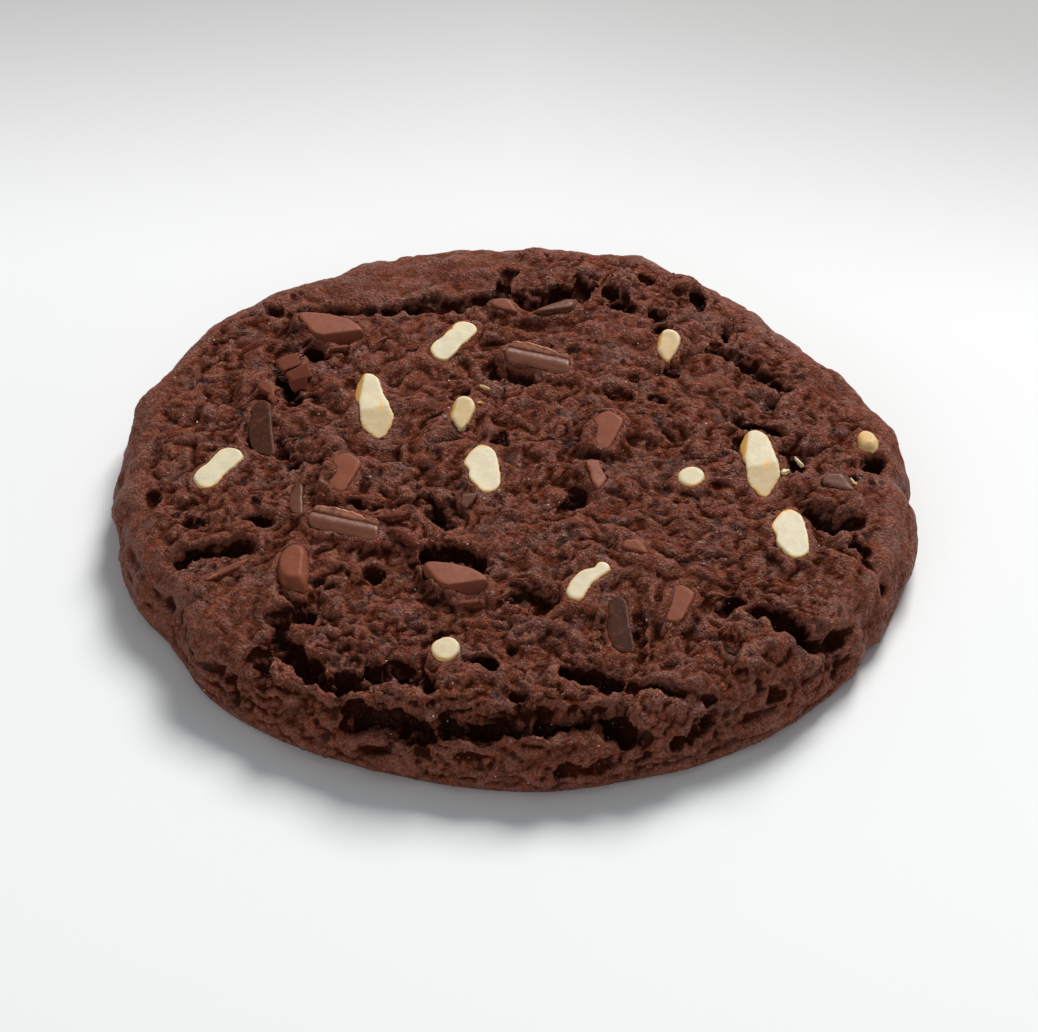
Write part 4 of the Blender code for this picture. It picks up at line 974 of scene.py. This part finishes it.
def broken_surface_tree():
    """Gives a chocolate piece its slight waves and its ragged side, and keeps how sharply it is edged."""
    wire, given, wanted = new_shape_tree(
        "Broken surface", Wave_size=1.8, Wave_height=0.05, Chip_size=0.6, Chip_depth=0.015, Side_depth=0.12,
    )
    place = wire.place()
    wave = wire.minus(wire.noise(place, given["Wave size"], 1.0), 0.5)
    wave = wire.times(wave, wire.times(given["Wave height"], 2.0))
    chip = wire.minus(wire.noise(place, given["Chip size"], 2.0), 0.5)
    upward = wire.dot(wire.add("GeometryNodeInputNormal"), (0.0, 0.0, 1.0))
    sideways = wire.ramp(upward, 0.15, 0.55, 1.0, 0.0)
    depth = wire.maths("MULTIPLY_ADD", sideways, given["Side depth"], given["Chip depth"])
    chip = wire.times(chip, wire.times(depth, 2.0))
    push = wire.scaled(wire.add("GeometryNodeInputNormal"), wire.times(wire.plus(wave, chip), MM))
    shaped = wire.add("GeometryNodeSetPosition", {"Geometry": given["Geometry"], "Offset": push})
    shaped = wire.keep(shaped, "edge", wire.standing_out(6))
    shaped = wire.add("GeometryNodeSetShadeSmooth", {"Geometry": shaped, "Shade Smooth": True})
    return finish_shape_tree(wire, shaped, given, wanted)


# ---------------------------------------------------------------- materials
def crumb_texture_group():
    """Shader group: the finest crumb of the dough, as a height and as masks for its colours."""
    wire, given, wanted = new_tree(
        "Cocoa crumb", "ShaderNodeTree", ["Height", "Mottle", "Ember", "Dust", "Soot", "Tone", "Gap"],
        Place=(0.0, 0.0, 0.0), Crumb_size=1.0, Grit_size=0.5, Grain_size=0.4,
    )
    place = given["Place"]
    stirred = wire.vectors("ADD", place, wire.scaled(wire.stir(place, 0.8, 2.0), 0.5))
    rough = wire.noise(stirred, given["Crumb size"], 6.0, 0.72)
    creases = wire.maths("ABSOLUTE", wire.minus(wire.noise(place, given["Grit size"], 2.0), 0.5))
    height = wire.maths("MULTIPLY_ADD", creases, 1.4, rough)
    grain = wire.cells(stirred, given["Grain size"])
    warm = wire.ramp(wire.noise(stirred, 0.85, 2.0, 0.6), 0.47, 0.63)
    patch = wire.ramp(wire.noise(place, 2.6, 3.0, 0.6), 0.38, 0.62)
    made = {
        "Height": wire.maths("MULTIPLY_ADD", grain, -0.5, height),
        "Mottle": wire.noise(place, 2.4, 4.0, 0.62),
        "Ember": wire.times(warm, patch),
        "Dust": wire.ramp(wire.noise(stirred, 1.3, 4.0, 0.65), 0.50, 0.66),
        "Soot": wire.ramp(wire.noise(place, 0.55, 2.0, 0.6), 0.55, 0.72),
        "Tone": wire.cells(stirred, given["Grain size"], out=1),
        "Gap": wire.ramp(wire.maths("MULTIPLY_ADD", rough, -0.8, grain), 0.0, 0.34),
    }
    for label, value in made.items():
        wire.tree.links.new(value, wanted[label])
    return wire.tree


def crumb_texture(wire, texture, crumb_size, grit_size, grain_size):
    """The outputs of that group at these sizes."""
    sizes = {"Crumb size": crumb_size, "Grit size": grit_size, "Grain size": grain_size}
    return wire.add("ShaderNodeGroup", {"Place": wire.place(), **sizes}, out=None, node_tree=texture)


def new_material(name):
    """A material and its wiring."""
    material = bpy.data.materials.new(name)
    material.use_nodes = True
    return material, Wiring(material.node_tree)


def finish_material(material, wire, values):
    """Give the material's shader its values."""
    wire.fill(material.node_tree.nodes["Principled BSDF"], values)
    return material


def dough_material(texture):
    """Baked cocoa dough: brown tops, painted shade in its hollows and between its crumbs, and warm crumb tips
    painted lighter as painted light.
    """
    material, wire = new_material("baked cocoa dough")
    crumb = crumb_texture(wire, texture, 1.1, 0.55, 0.30)
    tone = wire.ramp(crumb["Mottle"], 0.32, 0.68)
    tone = wire.maths("MULTIPLY_ADD", crumb["Tone"], 0.38, tone)
    tips = wire.ramp(wire.kept("stand_out"), -0.02, 0.10)
    body = wire.stained(
        wire.mix(wire.ramp(tone, 0.1, 1.4), (0.099, 0.0255, 0.0120), (0.242, 0.079, 0.050)),
        (wire.ramp(wire.kept("skin"), 0.1, 0.6, 0.0, 0.6), (0.218, 0.079, 0.053)),
        (wire.times(crumb["Dust"], 0.6), (0.190, 0.090, 0.070)),
        (wire.times(crumb["Soot"], 0.6), SOOT_BROWN),
        # Painted light: the crumb tips lighter, and redder where the ember lies.
        (wire.times(tips, 0.35), (0.325, 0.118, 0.078)),
        (wire.times(crumb["Ember"], wire.maths("MULTIPLY_ADD", tips, 0.3, 0.55)), (0.280, 0.059, 0.026)),
        # Painted shade: darker between the crumbs, in the small hollows, and deep in the cracks, where it is
        # partly the dough's own darker colour.
        (wire.times(crumb["Gap"], 0.40), GAP_BROWN),
        (wire.ramp(wire.kept("stand_out"), -0.17, 0.015, 0.88, 0.0), (0.028, 0.0050, 0.0014)),
        (wire.ramp(wire.kept("deep"), -1.1, -0.1, 0.80, 0.0), DEEP_BROWN),
    )
    place = wire.place()
    gloss = wire.times(tips, wire.minus(1.0, crumb["Gap"]))
    gloss = wire.times(gloss, wire.ramp(wire.noise(place, 0.5, 2.0), 0.48, 0.66, 0.05, 0.45))
    gloss = wire.plus(gloss, wire.ramp(wire.noise(place, 3.0, 2.0), 0.50, 0.68, 0.0, 0.15))
    glint = wire.ramp(wire.noise(place, 0.16, 1.0), 0.70, 0.76)
    return finish_material(material, wire, {
        "Base Color": body,
        "Specular IOR Level": wire.maths("MULTIPLY_ADD", glint, 0.6, gloss),
        "Roughness": wire.maths("MULTIPLY_ADD", glint, -0.2, 0.48),
        "Normal": wire.bump(crumb["Height"], 0.27),
    })


def crumb_material(texture):
    """Loose crumbs, each a little lighter, redder or darker than the next."""
    material, wire = new_material("cocoa crumbs")
    crumb = crumb_texture(wire, texture, 0.6, 0.3, 0.3)
    tone = wire.kept("tone")
    body = wire.stained(
        wire.mix(tone, (0.098, 0.0255, 0.0120), (0.238, 0.079, 0.048)),
        (wire.ramp(tone, 0.75, 1.0, 0.0, 0.6), (0.275, 0.064, 0.024)),
        (wire.times(crumb["Soot"], 0.5), SOOT_BROWN),
        # Painted shade: darker between the grains and, partly as the dough's own darker colour, deep in the
        # hollows.
        (wire.times(crumb["Gap"], 0.5), GAP_BROWN),
        (wire.ramp(wire.kept("deep"), -1.0, -0.1, 0.85, 0.0), DEEP_BROWN),
    )
    return finish_material(material, wire, {
        "Base Color": body,
        "Specular IOR Level": 0.15,
        "Roughness": 0.5,
        "Normal": wire.bump(crumb["Height"], 0.26),
    })


def chocolate_material(
    name, base, tinted, toast_and_glow, toast_reach, toast_share, edge_highlight, roughness, shaded, dust, glosses,
    inside=None,
):
    """Chocolate whose edge against the dough is toasted and, right at the dough, darker as singed and as
    painted shade, whose toasted side the white chocolate paints golden as a glow, whose broken edges are
    painted lighter as highlights, whose front is painted nearer to its second colour as shade, and which has
    specks of dough on it.
    """
    material, wire = new_material(name)
    place = wire.place()
    tint, fringe = wire.kept("tint"), wire.kept("fringe")
    uneven = wire.ramp(wire.noise(place, 1.6, 3.0, 0.6), 0.35, 0.65)
    front = wire.maths("MULTIPLY_ADD", wire.kept("front"), shaded, tint, clamp=True)
    edge_highlight_share = wire.maths("MULTIPLY_ADD", tint, 0.7, 0.15)
    wander = wire.times(wire.minus(wire.noise(place, 0.7, 3.0, 0.6), 0.5), toast_reach)
    gap = wire.plus(wire.kept("bury"), wander)
    toast_and_glow_mask = wire.maths("MAXIMUM", wire.ramp(gap, 0.0, toast_reach, 0.9, 0.0), fringe)
    specks = wire.ramp(wire.noise(place, 0.45, 4.0, 0.7), 0.56, 0.66, 0.0, dust)
    smears = wire.plus(wire.noise(place, 1.6, 4.0, 0.7), wire.times(fringe, 0.12))
    body = wire.stained(
        wire.mix(uneven, tuple(0.90 * part for part in base), base),
        # Painted shade: the front nearer to the second colour, darker on the milk chocolate and warm on the
        # white as light within its shade.
        (front, tinted),
        # Painted highlight: the broken edges lighter.
        (wire.times(wire.ramp(wire.kept("edge"), 0.012, 0.06), edge_highlight_share), edge_highlight),
        # The toasted edge; on the white chocolate its toasted side is painted golden as a glow.
        (wire.times(toast_and_glow_mask, toast_share), toast_and_glow),
        # Darkest right at the dough: singed, and painted shade where piece and dough meet.
        (
            wire.ramp(gap, 0.0, 0.4 * toast_reach, 0.8 * toast_share, 0.0),
            tuple(left * part for left, part in zip(SINGE_AND_SHADE, toast_and_glow)),
        ),
        (wire.maths("MAXIMUM", specks, wire.ramp(smears, 0.57, 0.63, 0.0, dust)), SPECK_BROWN),
    )
    streaks = wire.noise(place, 0.35, 3.0, 0.6)
    return finish_material(material, wire, {
        "Base Color": body,
        "Specular IOR Level": wire.ramp(tint, 0.0, 0.25, *glosses),
        "Roughness": wire.ramp(streaks, 0.3, 0.7, roughness - 0.06, roughness + 0.08),
        "Normal": wire.bump(streaks, 0.02),
        **(inside or {}),
    })


def make_materials():
    """Every material, by what it is for."""
    texture = crumb_texture_group()
    materials = {"dough": dough_material(texture), "crumbs": crumb_material(texture)}
    for kind, look in CHOCOLATES.items():
        materials[kind] = chocolate_material(**look)
    return materials


# ---------------------------------------------------------------- chocolate pieces
def trace(points, count, sharp):
    """Evenly spaced points on a closed outline, rounded through the given points unless it is sharp."""
    points = np.array(points)
    spans = np.linalg.norm(np.roll(points, -1, axis=0) - points, axis=1)
    starts = np.concatenate([[0.0], np.cumsum(spans)])
    places = np.arange(count) / count * starts[-1]
    index = np.clip(np.searchsorted(starts, places, side="right") - 1, 0, len(points) - 1)
    share = ((places - starts[index]) / spans[index])[:, None]
    before, first, last, after = (points[(index + step) % len(points)] for step in (-1, 0, 1, 2))
    if sharp:
        return first + (last - first) * share
    slope_in, slope_out = (last - before) / 2, (after - first) / 2
    square, cube = share ** 2, share ** 3
    return (
        first * (2 * cube - 3 * square + 1)
        + slope_in * (cube - 2 * square + share)
        + last * (3 * square - 2 * cube)
        + slope_out * (cube - square)
    )


def chip_mesh(name, form, size):
    """One chocolate piece about its own middle: its outline, narrowed towards its top and bottom, and cut."""
    outline = trace(form["outline"], CHIP_SIDES, form.get("sharp", False))
    middle = outline.mean(axis=0)
    bm = bmesh.new()
    bmesh.ops.create_uvsphere(bm, u_segments=CHIP_SIDES, v_segments=CHIP_RINGS, radius=1.0)
    for vert in bm.verts:
        turn = math.atan2(vert.co.y, vert.co.x) / math.tau
        narrow = (1.0 - min(abs(vert.co.z), 1.0) ** form["side"]) ** (1.0 / form["side"])
        x, y = middle + (outline[round(turn * CHIP_SIDES) % CHIP_SIDES] - middle) * narrow
        vert.co = (x, y, vert.co.z * form["thickness"] / 2)
    for *normal, distance in form["faces"]:
        normal = Vector(normal).normalized()
        bmesh.ops.bisect_plane(
            bm,
            geom=bm.verts[:] + bm.edges[:] + bm.faces[:],
            dist=CUT_REACH,
            plane_co=normal * distance,
            plane_no=normal,
            clear_outer=True,
        )
        bmesh.ops.holes_fill(bm, edges=[edge for edge in bm.edges if edge.is_boundary])
    bmesh.ops.remove_doubles(bm, verts=bm.verts, dist=MERGE_REACH)
    bmesh.ops.scale(bm, vec=(size, size, size), verts=bm.verts)
    return finish_mesh(name, bm)


def placed(x, y, heading, raised, lift):
    """The place of a piece on the dough's top, turned to its heading, with its far side raised."""
    spot = Vector(on_top(x, y)) + Vector((0.0, 0.0, lift))
    turn = Matrix.Rotation(math.radians(raised), 4, "X") @ Matrix.Rotation(math.radians(heading), 4, "Z")
    return Matrix.Translation(spot * MM) @ turn


def furrow(mesh):
    """Raise and sink lines along a curl's upper side, with ragged crests, and tell where the first is."""
    points = points_of(mesh)
    uneven = noises(points, FURROW_NOISE)
    upper = smooth_step(points[:, 2] / FURROW_FADE)
    lines = []
    for y, width, height, ragged in FURROWS:
        across = (points[:, 1] - y + FURROW_FALL * points[:, 0]) / width
        lines.append(np.exp(-across ** 2))
        points[:, 2] += height * lines[-1] * upper * (1.0 + ragged * uneven)
    move_points(mesh, points)
    return smooth_step(lines[0] * (CREST_SPREAD + uneven))


def facing(mesh, side, least, span):
    """How far each point of the mesh faces a side: 0 up to the least, 1 from the span beyond."""
    return smooth_step((normals_of(mesh) @ np.array(side) - least) / span)


def streaked(mesh, middle):
    """1 on the toasted streak of a drop."""
    x, y, length, width = STREAK
    points = points_of(mesh) - np.array(middle)
    beyond = np.maximum(np.abs(points[:, 1] - y) - length / 2, 0.0)
    across = points[:, 0] - x + noises(points, STREAK_NOISE)
    return smooth_step(STREAK_END - np.hypot(across, beyond) / width)


def make_chip(name, row, material, surface, finish):
    """One piece from its row of sizes, its broken edges rounded, with its place in its mesh."""
    form_name, x, y, size, heading, raised, lift, _, tint = row
    grain, rounding, side_depth = finish
    chip = new_object(name, chip_mesh(name, FORMS[form_name], size))
    remesh = chip.modifiers.new("Even cells", "REMESH")
    remesh.mode = "VOXEL"
    remesh.voxel_size = grain * MM
    apply_modifiers(chip)
    tints = np.full(len(chip.data.vertices), tint)
    if form_name == "curl":
        tints *= BODY_TINT + (1.0 - BODY_TINT) * furrow(chip.data)
    chip.data.transform(placed(x, y, heading, raised, lift))
    smooth = chip.modifiers.new("Rounded edges", "SMOOTH")
    smooth.iterations = rounding
    apply_modifiers(chip)
    # The toasted side, which the white chocolate paints golden as a glow, and the front, which is painted
    # nearer to the second colour as shade.
    toast_and_glow = facing(chip.data, FRINGE_SIDE, *FRINGE_FACING)
    if form_name in ("drop", "pinched drop"):
        toast_and_glow = np.maximum(toast_and_glow, streaked(chip.data, on_top(x, y)))
    store(chip.data, tint=tints, fringe=toast_and_glow, front=facing(chip.data, SHADED_SIDE, *SHADED_FACING))
    shape_with(chip, surface, material=material, side_depth=side_depth)
    return chip


def make_chips(materials, surface):
    """Every chocolate piece, with its row, by the name of the solid that it stands for."""
    chips = {}
    for kind, rows in PIECES.items():
        for number, row in enumerate(rows, start=1):
            chip = make_chip(f"{kind}_chocolate_{number:02d}", row, materials[kind], surface, CHIP_FINISH)
            chips[f"{kind}_chunk_{number:02d}"] = (kind, row, chip)
    return chips


def join_meshes(name, objects):
    """One object from several, which are removed."""
    bm = bmesh.new()
    for obj in objects:
        bm.from_mesh(obj.data)
    mesh = bpy.data.meshes.new(name)
    bm.to_mesh(mesh)
    bm.free()
    mesh.materials.append(objects[0].data.materials[0])
    for obj in objects:
        bpy.data.objects.remove(obj)
    return new_object(name, mesh)


def make_slivers(materials, surface):
    """The slivers and flakes of each chocolate, as one piece for each kind."""
    made = {}
    for kind, rows in SLIVERS.items():
        flakes = [
            make_chip(f"{kind}_sliver_{number}", row, materials[kind], surface, SLIVER_FINISH)
            for number, row in enumerate(rows, start=1)
        ]
        made[kind] = join_meshes(f"{kind}_chocolate_slivers", flakes)
    return made


def mark_buried(chip, ground):
    """Keep how far each point of a piece stands clear of the dough, counted as nearer on its toasted side,
    which the white chocolate paints golden as a glow.
    """
    points = points_of(chip.data)
    gaps = np.array([signed_gap(ground, point, FARTHEST_GAP) for point in points.tolist()])
    toward = (points - points.mean(axis=0)) @ np.array(FRINGE_SIDE)
    store(chip.data, bury=gaps - FRINGE_WIDTH * smooth_step(toward / toward.max()))


# ---------------------------------------------------------------- dough
def square_to_disc(a, b):
    """Angle and reach on a disc for a point of a square of half side 1, ring by ring."""
    reach = max(abs(a), abs(b))
    if reach == 0.0:
        return 0.0, 0.0
    if abs(a) >= abs(b):
        return 45.0 * b / a + (180.0 if a < 0.0 else 0.0), reach
    return 90.0 - 45.0 * a / b + (180.0 if b < 0.0 else 0.0), reach


def disc_mesh():
    """The plain disc as rings of a grid, with its side extruded ring by ring and its base one flat face."""
    bm = bmesh.new()
    bmesh.ops.create_grid(bm, x_segments=2 * TOP_RINGS, y_segments=2 * TOP_RINGS, size=1.0)
    spots = {vert: square_to_disc(vert.co.x, vert.co.y) for vert in bm.verts}
    laps = [1.0 + ring / SHOULDER_RINGS for ring in range(1, SHOULDER_RINGS + 1)]
    laps += [2.0 + ring / FOOT_RINGS for ring in range(1, FOOT_RINGS + 1)]
    edge = [edge for edge in bm.edges if edge.is_boundary]
    for lap in laps:
        rim = {vert for item in edge for vert in item.verts}
        made = bmesh.ops.extrude_edge_only(bm, edges=edge)["geom"]
        angles = {tuple(vert.co): spots[vert][0] for vert in rim}
        for vert in (item for item in made if isinstance(item, bmesh.types.BMVert)):
            spots[vert] = (angles[tuple(vert.co)], lap)
        edge = [item for item in made if isinstance(item, bmesh.types.BMEdge) and item.is_boundary]
        edge = [item for item in edge if all(spots[vert][1] == lap for vert in item.verts)]
    bmesh.ops.edgeloop_fill(bm, edges=edge)

    verts = list(bm.verts)
    angle, lap = (np.array(values) for values in zip(*(spots[vert] for vert in verts)))
    for vert, point in zip(verts, smooth_body(angle, lap)):
        vert.co = point
    mesh = finish_mesh("cookie_dough", bm)
    base = max(mesh.polygons, key=lambda face: len(face.vertices))
    base.use_smooth = False
    return mesh


def rim_of(row, chip):
    """The outline of a piece as it lies, with the height of its upper side just inside of it."""
    form_name, x, y, size, heading, raised, lift, *_ = row
    outline = trace(FORMS[form_name]["outline"], CHIP_SIDES, False) * size
    inner = outline + (outline.mean(axis=0) - outline) * EDGE_INSET
    place = placed(x, y, heading, raised, lift)
    tree = surface_tree(chip.data)
    rim = np.zeros((CHIP_SIDES, 3))
    for index, (edge, inside) in enumerate(zip(outline, inner)):
        spot = place @ (Vector((*edge, 0.0)) * MM) / MM
        probe = place @ (Vector((*inside, 0.0)) * MM) / MM
        hit, *_ = tree.ray_cast(Vector((probe.x, probe.y, PROBE_HEIGHT)), Vector((0.0, 0.0, -1.0)))
        rim[index] = spot.x, spot.y, hit.z if hit else spot.z
    heights = rim[:, 2]
    steps = range(-RIM_EVENING, RIM_EVENING + 1)
    rim[:, 2] = sum(np.roll(heights, step) for step in steps) / len(steps)
    return rim


def inside_outline(points, rim):
    """Which points lie inside the outline, seen from above."""
    inside = np.zeros(len(points), dtype=bool)
    for (ax, ay, _), (bx, by, _) in zip(rim, np.roll(rim, -1, axis=0)):
        between = (ay > points[:, 1]) != (by > points[:, 1])
        crossing = ax + (points[:, 1] - ay) / np.where(between, by - ay, 1.0) * (bx - ax)
        inside ^= between & (points[:, 0] < crossing)
    return inside


def bed_shares(points, chips):
    """How much each point belongs to a piece's bed, how much higher that bed is, and how far it lies under
    the piece.
    """
    share, height, under = np.zeros(len(points)), np.zeros(len(points)), np.zeros(len(points))
    climb = CRUMB_CLIMB + noises(points, CLIMB_NOISE)
    for _, row, chip in chips.values():
        rim, step_down = rim_of(row, chip), row[7]
        middle = rim.mean(axis=0)
        reach = np.linalg.norm(rim - middle, axis=1).max() + BED_REACH
        close = np.linalg.norm((points - middle)[:, :2], axis=1) < reach
        near = np.nonzero(close & (points[:, 2] > RIM_HEIGHT / 2))[0]
        apart = np.linalg.norm(points[near, None, :2] - rim[None, :, :2], axis=2)
        gap = apart.min(axis=1)
        weights = 1.0 / np.maximum(apart, CLOSEST) ** NEAR_POWER
        level = (weights * rim[None, :, 2]).sum(axis=1) / weights.sum(axis=1) - step_down + climb[near]
        within = inside_outline(points[near], rim)
        level -= np.where(within, gap * BED_SLOPE, 0.0)
        part = np.where(within, 1.0, smooth_step(1.0 - gap / BED_REACH))
        stronger = part > share[near]
        share[near] = np.where(stronger, part, share[near])
        height[near] = np.where(stronger, level - points[near, 2], height[near])
        under[near] = np.maximum(under[near], np.where(within, gap, 0.0))
    return share, height, under


def make_dough(chips, material):
    """The dough, lumped and cracked as the solid is and then given its crumb."""
    mesh = disc_mesh()
    points, outward = points_of(mesh), normals_of(mesh)
    share, height, under = bed_shares(points, chips)
    depth = cracks(points)
    calm = np.clip(points[:, 2] / CALM_HEIGHT, 0.0, 1.0) ** 2
    settled = sum(rise * swell(points, x, y, radius) for x, y, radius, rise in SETTLED)
    relief = lumps(points) * (1.0 - share) + height * share + settled
    shaped = points + outward * ((relief - depth) * calm)[:, None]
    shaped[:, 2] = np.maximum(shaped[:, 2], 0.0)
    move_points(mesh, shaped)

    crack = smooth_step(depth / CRACK_DEPTH)
    behind = smooth_step((points[:, 1] - FRONT_END[0]) / (FRONT_END[1] - FRONT_END[0]))
    in_front = FRONT_BOOST * (1.0 - behind) * outward[:, 2] ** 2
    skin = smooth_step(under / UNDER_CALM) * (1.0 - smooth_step(settled))
    for x, y, radius, amount in SMOOTH_SKIN:
        skin = np.maximum(skin, amount * swell(points, x, y, radius))
    angle = np.degrees(np.arctan2(points[:, 1], points[:, 0]))
    reach = np.linalg.norm(points[:, :2], axis=1) / rim_radius(angle)
    rim_skin = RIM_SKIN[0] + (RIM_SKIN[1] - RIM_SKIN[0]) * behind
    skin = np.maximum(skin, rim_skin * smooth_step((reach - RIM_SKIN_FROM) / RIM_SKIN_SPAN))
    rugged = 1.0 + CRACK_BOOST * crack + in_front
    store(mesh, crack=crack, rugged=rugged, calm=calm, open=1.0 - share, skin=skin)
    dough = new_object("cookie_dough", mesh)
    shape_with(dough, crumb_relief_tree(), material=material)
    return dough


def make_strewn(dough, materials):
    """The crumbs and the grains strewn over the dough, as one piece for each kind."""
    tree = crumb_scatter_tree()
    pieces = []
    for name, (kind, values) in STREWN.items():
        pieces.append(new_object(name, dough.data.copy()))
        shape_with(pieces[-1], tree, material=materials[kind], **values)
    return pieces


# ---------------------------------------------------------------- stage
def make_camera():
    """The camera in front of the cookie, looking down at it."""
    camera = new_object("camera", bpy.data.cameras.new("camera"))
    camera.data.sensor_width = SENSOR_WIDTH
    camera.data.lens = SENSOR_WIDTH * VIEW_DISTANCE / VIEW_WIDTH
    camera.data.clip_start = 0.01
    tilt = math.radians(VIEW_ELEVATION)
    back = Vector((0.0, -math.cos(tilt), math.sin(tilt)))
    camera.location = (Vector(VIEW_TARGET) + back * VIEW_DISTANCE) * MM
    camera.rotation_euler = (math.radians(90.0 - VIEW_ELEVATION), 0.0, 0.0)
    bpy.context.scene.camera = camera


def make_light(name, place, size, power, tint):
    """A square soft light that faces the cookie."""
    light = new_object(name, bpy.data.lights.new(name, "AREA"))
    light.data.size = size * MM
    light.data.energy = power
    light.data.color = tint
    light.location = Vector(place) * MM
    light.rotation_euler = (-Vector(place)).to_track_quat("-Z", "Y").to_euler()


def make_floor():
    """A pale floor with painted light and shade: lighter at the front and greyer behind the cookie."""
    bm = bmesh.new()
    bmesh.ops.create_grid(bm, x_segments=1, y_segments=1, size=FLOOR_SIZE / 2)
    floor = new_object("floor", finish_mesh("floor", bm))
    material, wire = new_material("pale floor")
    behind = wire.dot(wire.place(), (FLOOR_SHADE_SKEW, 1.0, 0.0))
    across = wire.dot(wire.place(), (FLOOR_SHADE_SIDES, 0.0, 0.0))
    shade = wire.ramp(wire.plus(behind, wire.maths("ABSOLUTE", across)), *FLOOR_SHADE)
    tone = wire.mix(wire.ramp(behind, *FLOOR_NEARS), FLOOR_FRONT_COLOUR, FLOOR_COLOUR)
    finish_material(material, wire, {
        "Base Color": wire.mix(shade, tone, FLOOR_SHADE_COLOUR),
        "Roughness": 0.6,
        "Specular IOR Level": 0.1,
    })
    floor.data.materials.append(material)


def make_stage():
    """The camera, the lights, the floor and the soft light from all around."""
    scene = bpy.context.scene
    scene.view_settings.view_transform = "Standard"
    make_camera()
    make_light("soft key light", KEY_FROM, KEY_SIZE, KEY_POWER, KEY_COLOUR)
    make_light("soft fill light", FILL_FROM, FILL_SIZE, FILL_POWER, FILL_COLOUR)
    make_floor()
    scene.world = bpy.data.worlds.new("soft surroundings")
    scene.world.use_nodes = True
    sky = scene.world.node_tree.nodes["Background"]
    sky.inputs["Color"].default_value = (*SKY_COLOUR, 1.0)
    sky.inputs["Strength"].default_value = SKY_STRENGTH


# ---------------------------------------------------------------- the cookie
def hand_over(piece, slot, *nodes):
    """Let a finished piece ride on the cookie's body and hide the solids it stands for. The slot is not used.
    """
    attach(piece, BODY)
    if nodes:
        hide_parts(*nodes)


def make_cookie():
    """The dough, its chocolate and its crumbs, each handed over with what it stands for."""
    materials = make_materials()
    surface = broken_surface_tree()
    chips = make_chips(materials, surface)
    slivers = make_slivers(materials, surface)
    dough = make_dough(chips, materials["dough"])
    ground = surface_tree(dough.data)
    for piece in [chip for _, _, chip in chips.values()] + list(slivers.values()):
        mark_buried(piece, ground)
    strewn = make_strewn(dough, materials)

    hand_over(dough, "cocoa_dough", "dough")
    for node, (kind, _, chip) in chips.items():
        hand_over(chip, f"{kind}_chocolate", node)
    for kind, flakes in slivers.items():
        hand_over(flakes, f"{kind}_chocolate", "dough")
    for crumbs in strewn:
        hand_over(crumbs, "cocoa_dough")


make_stage()
make_cookie()
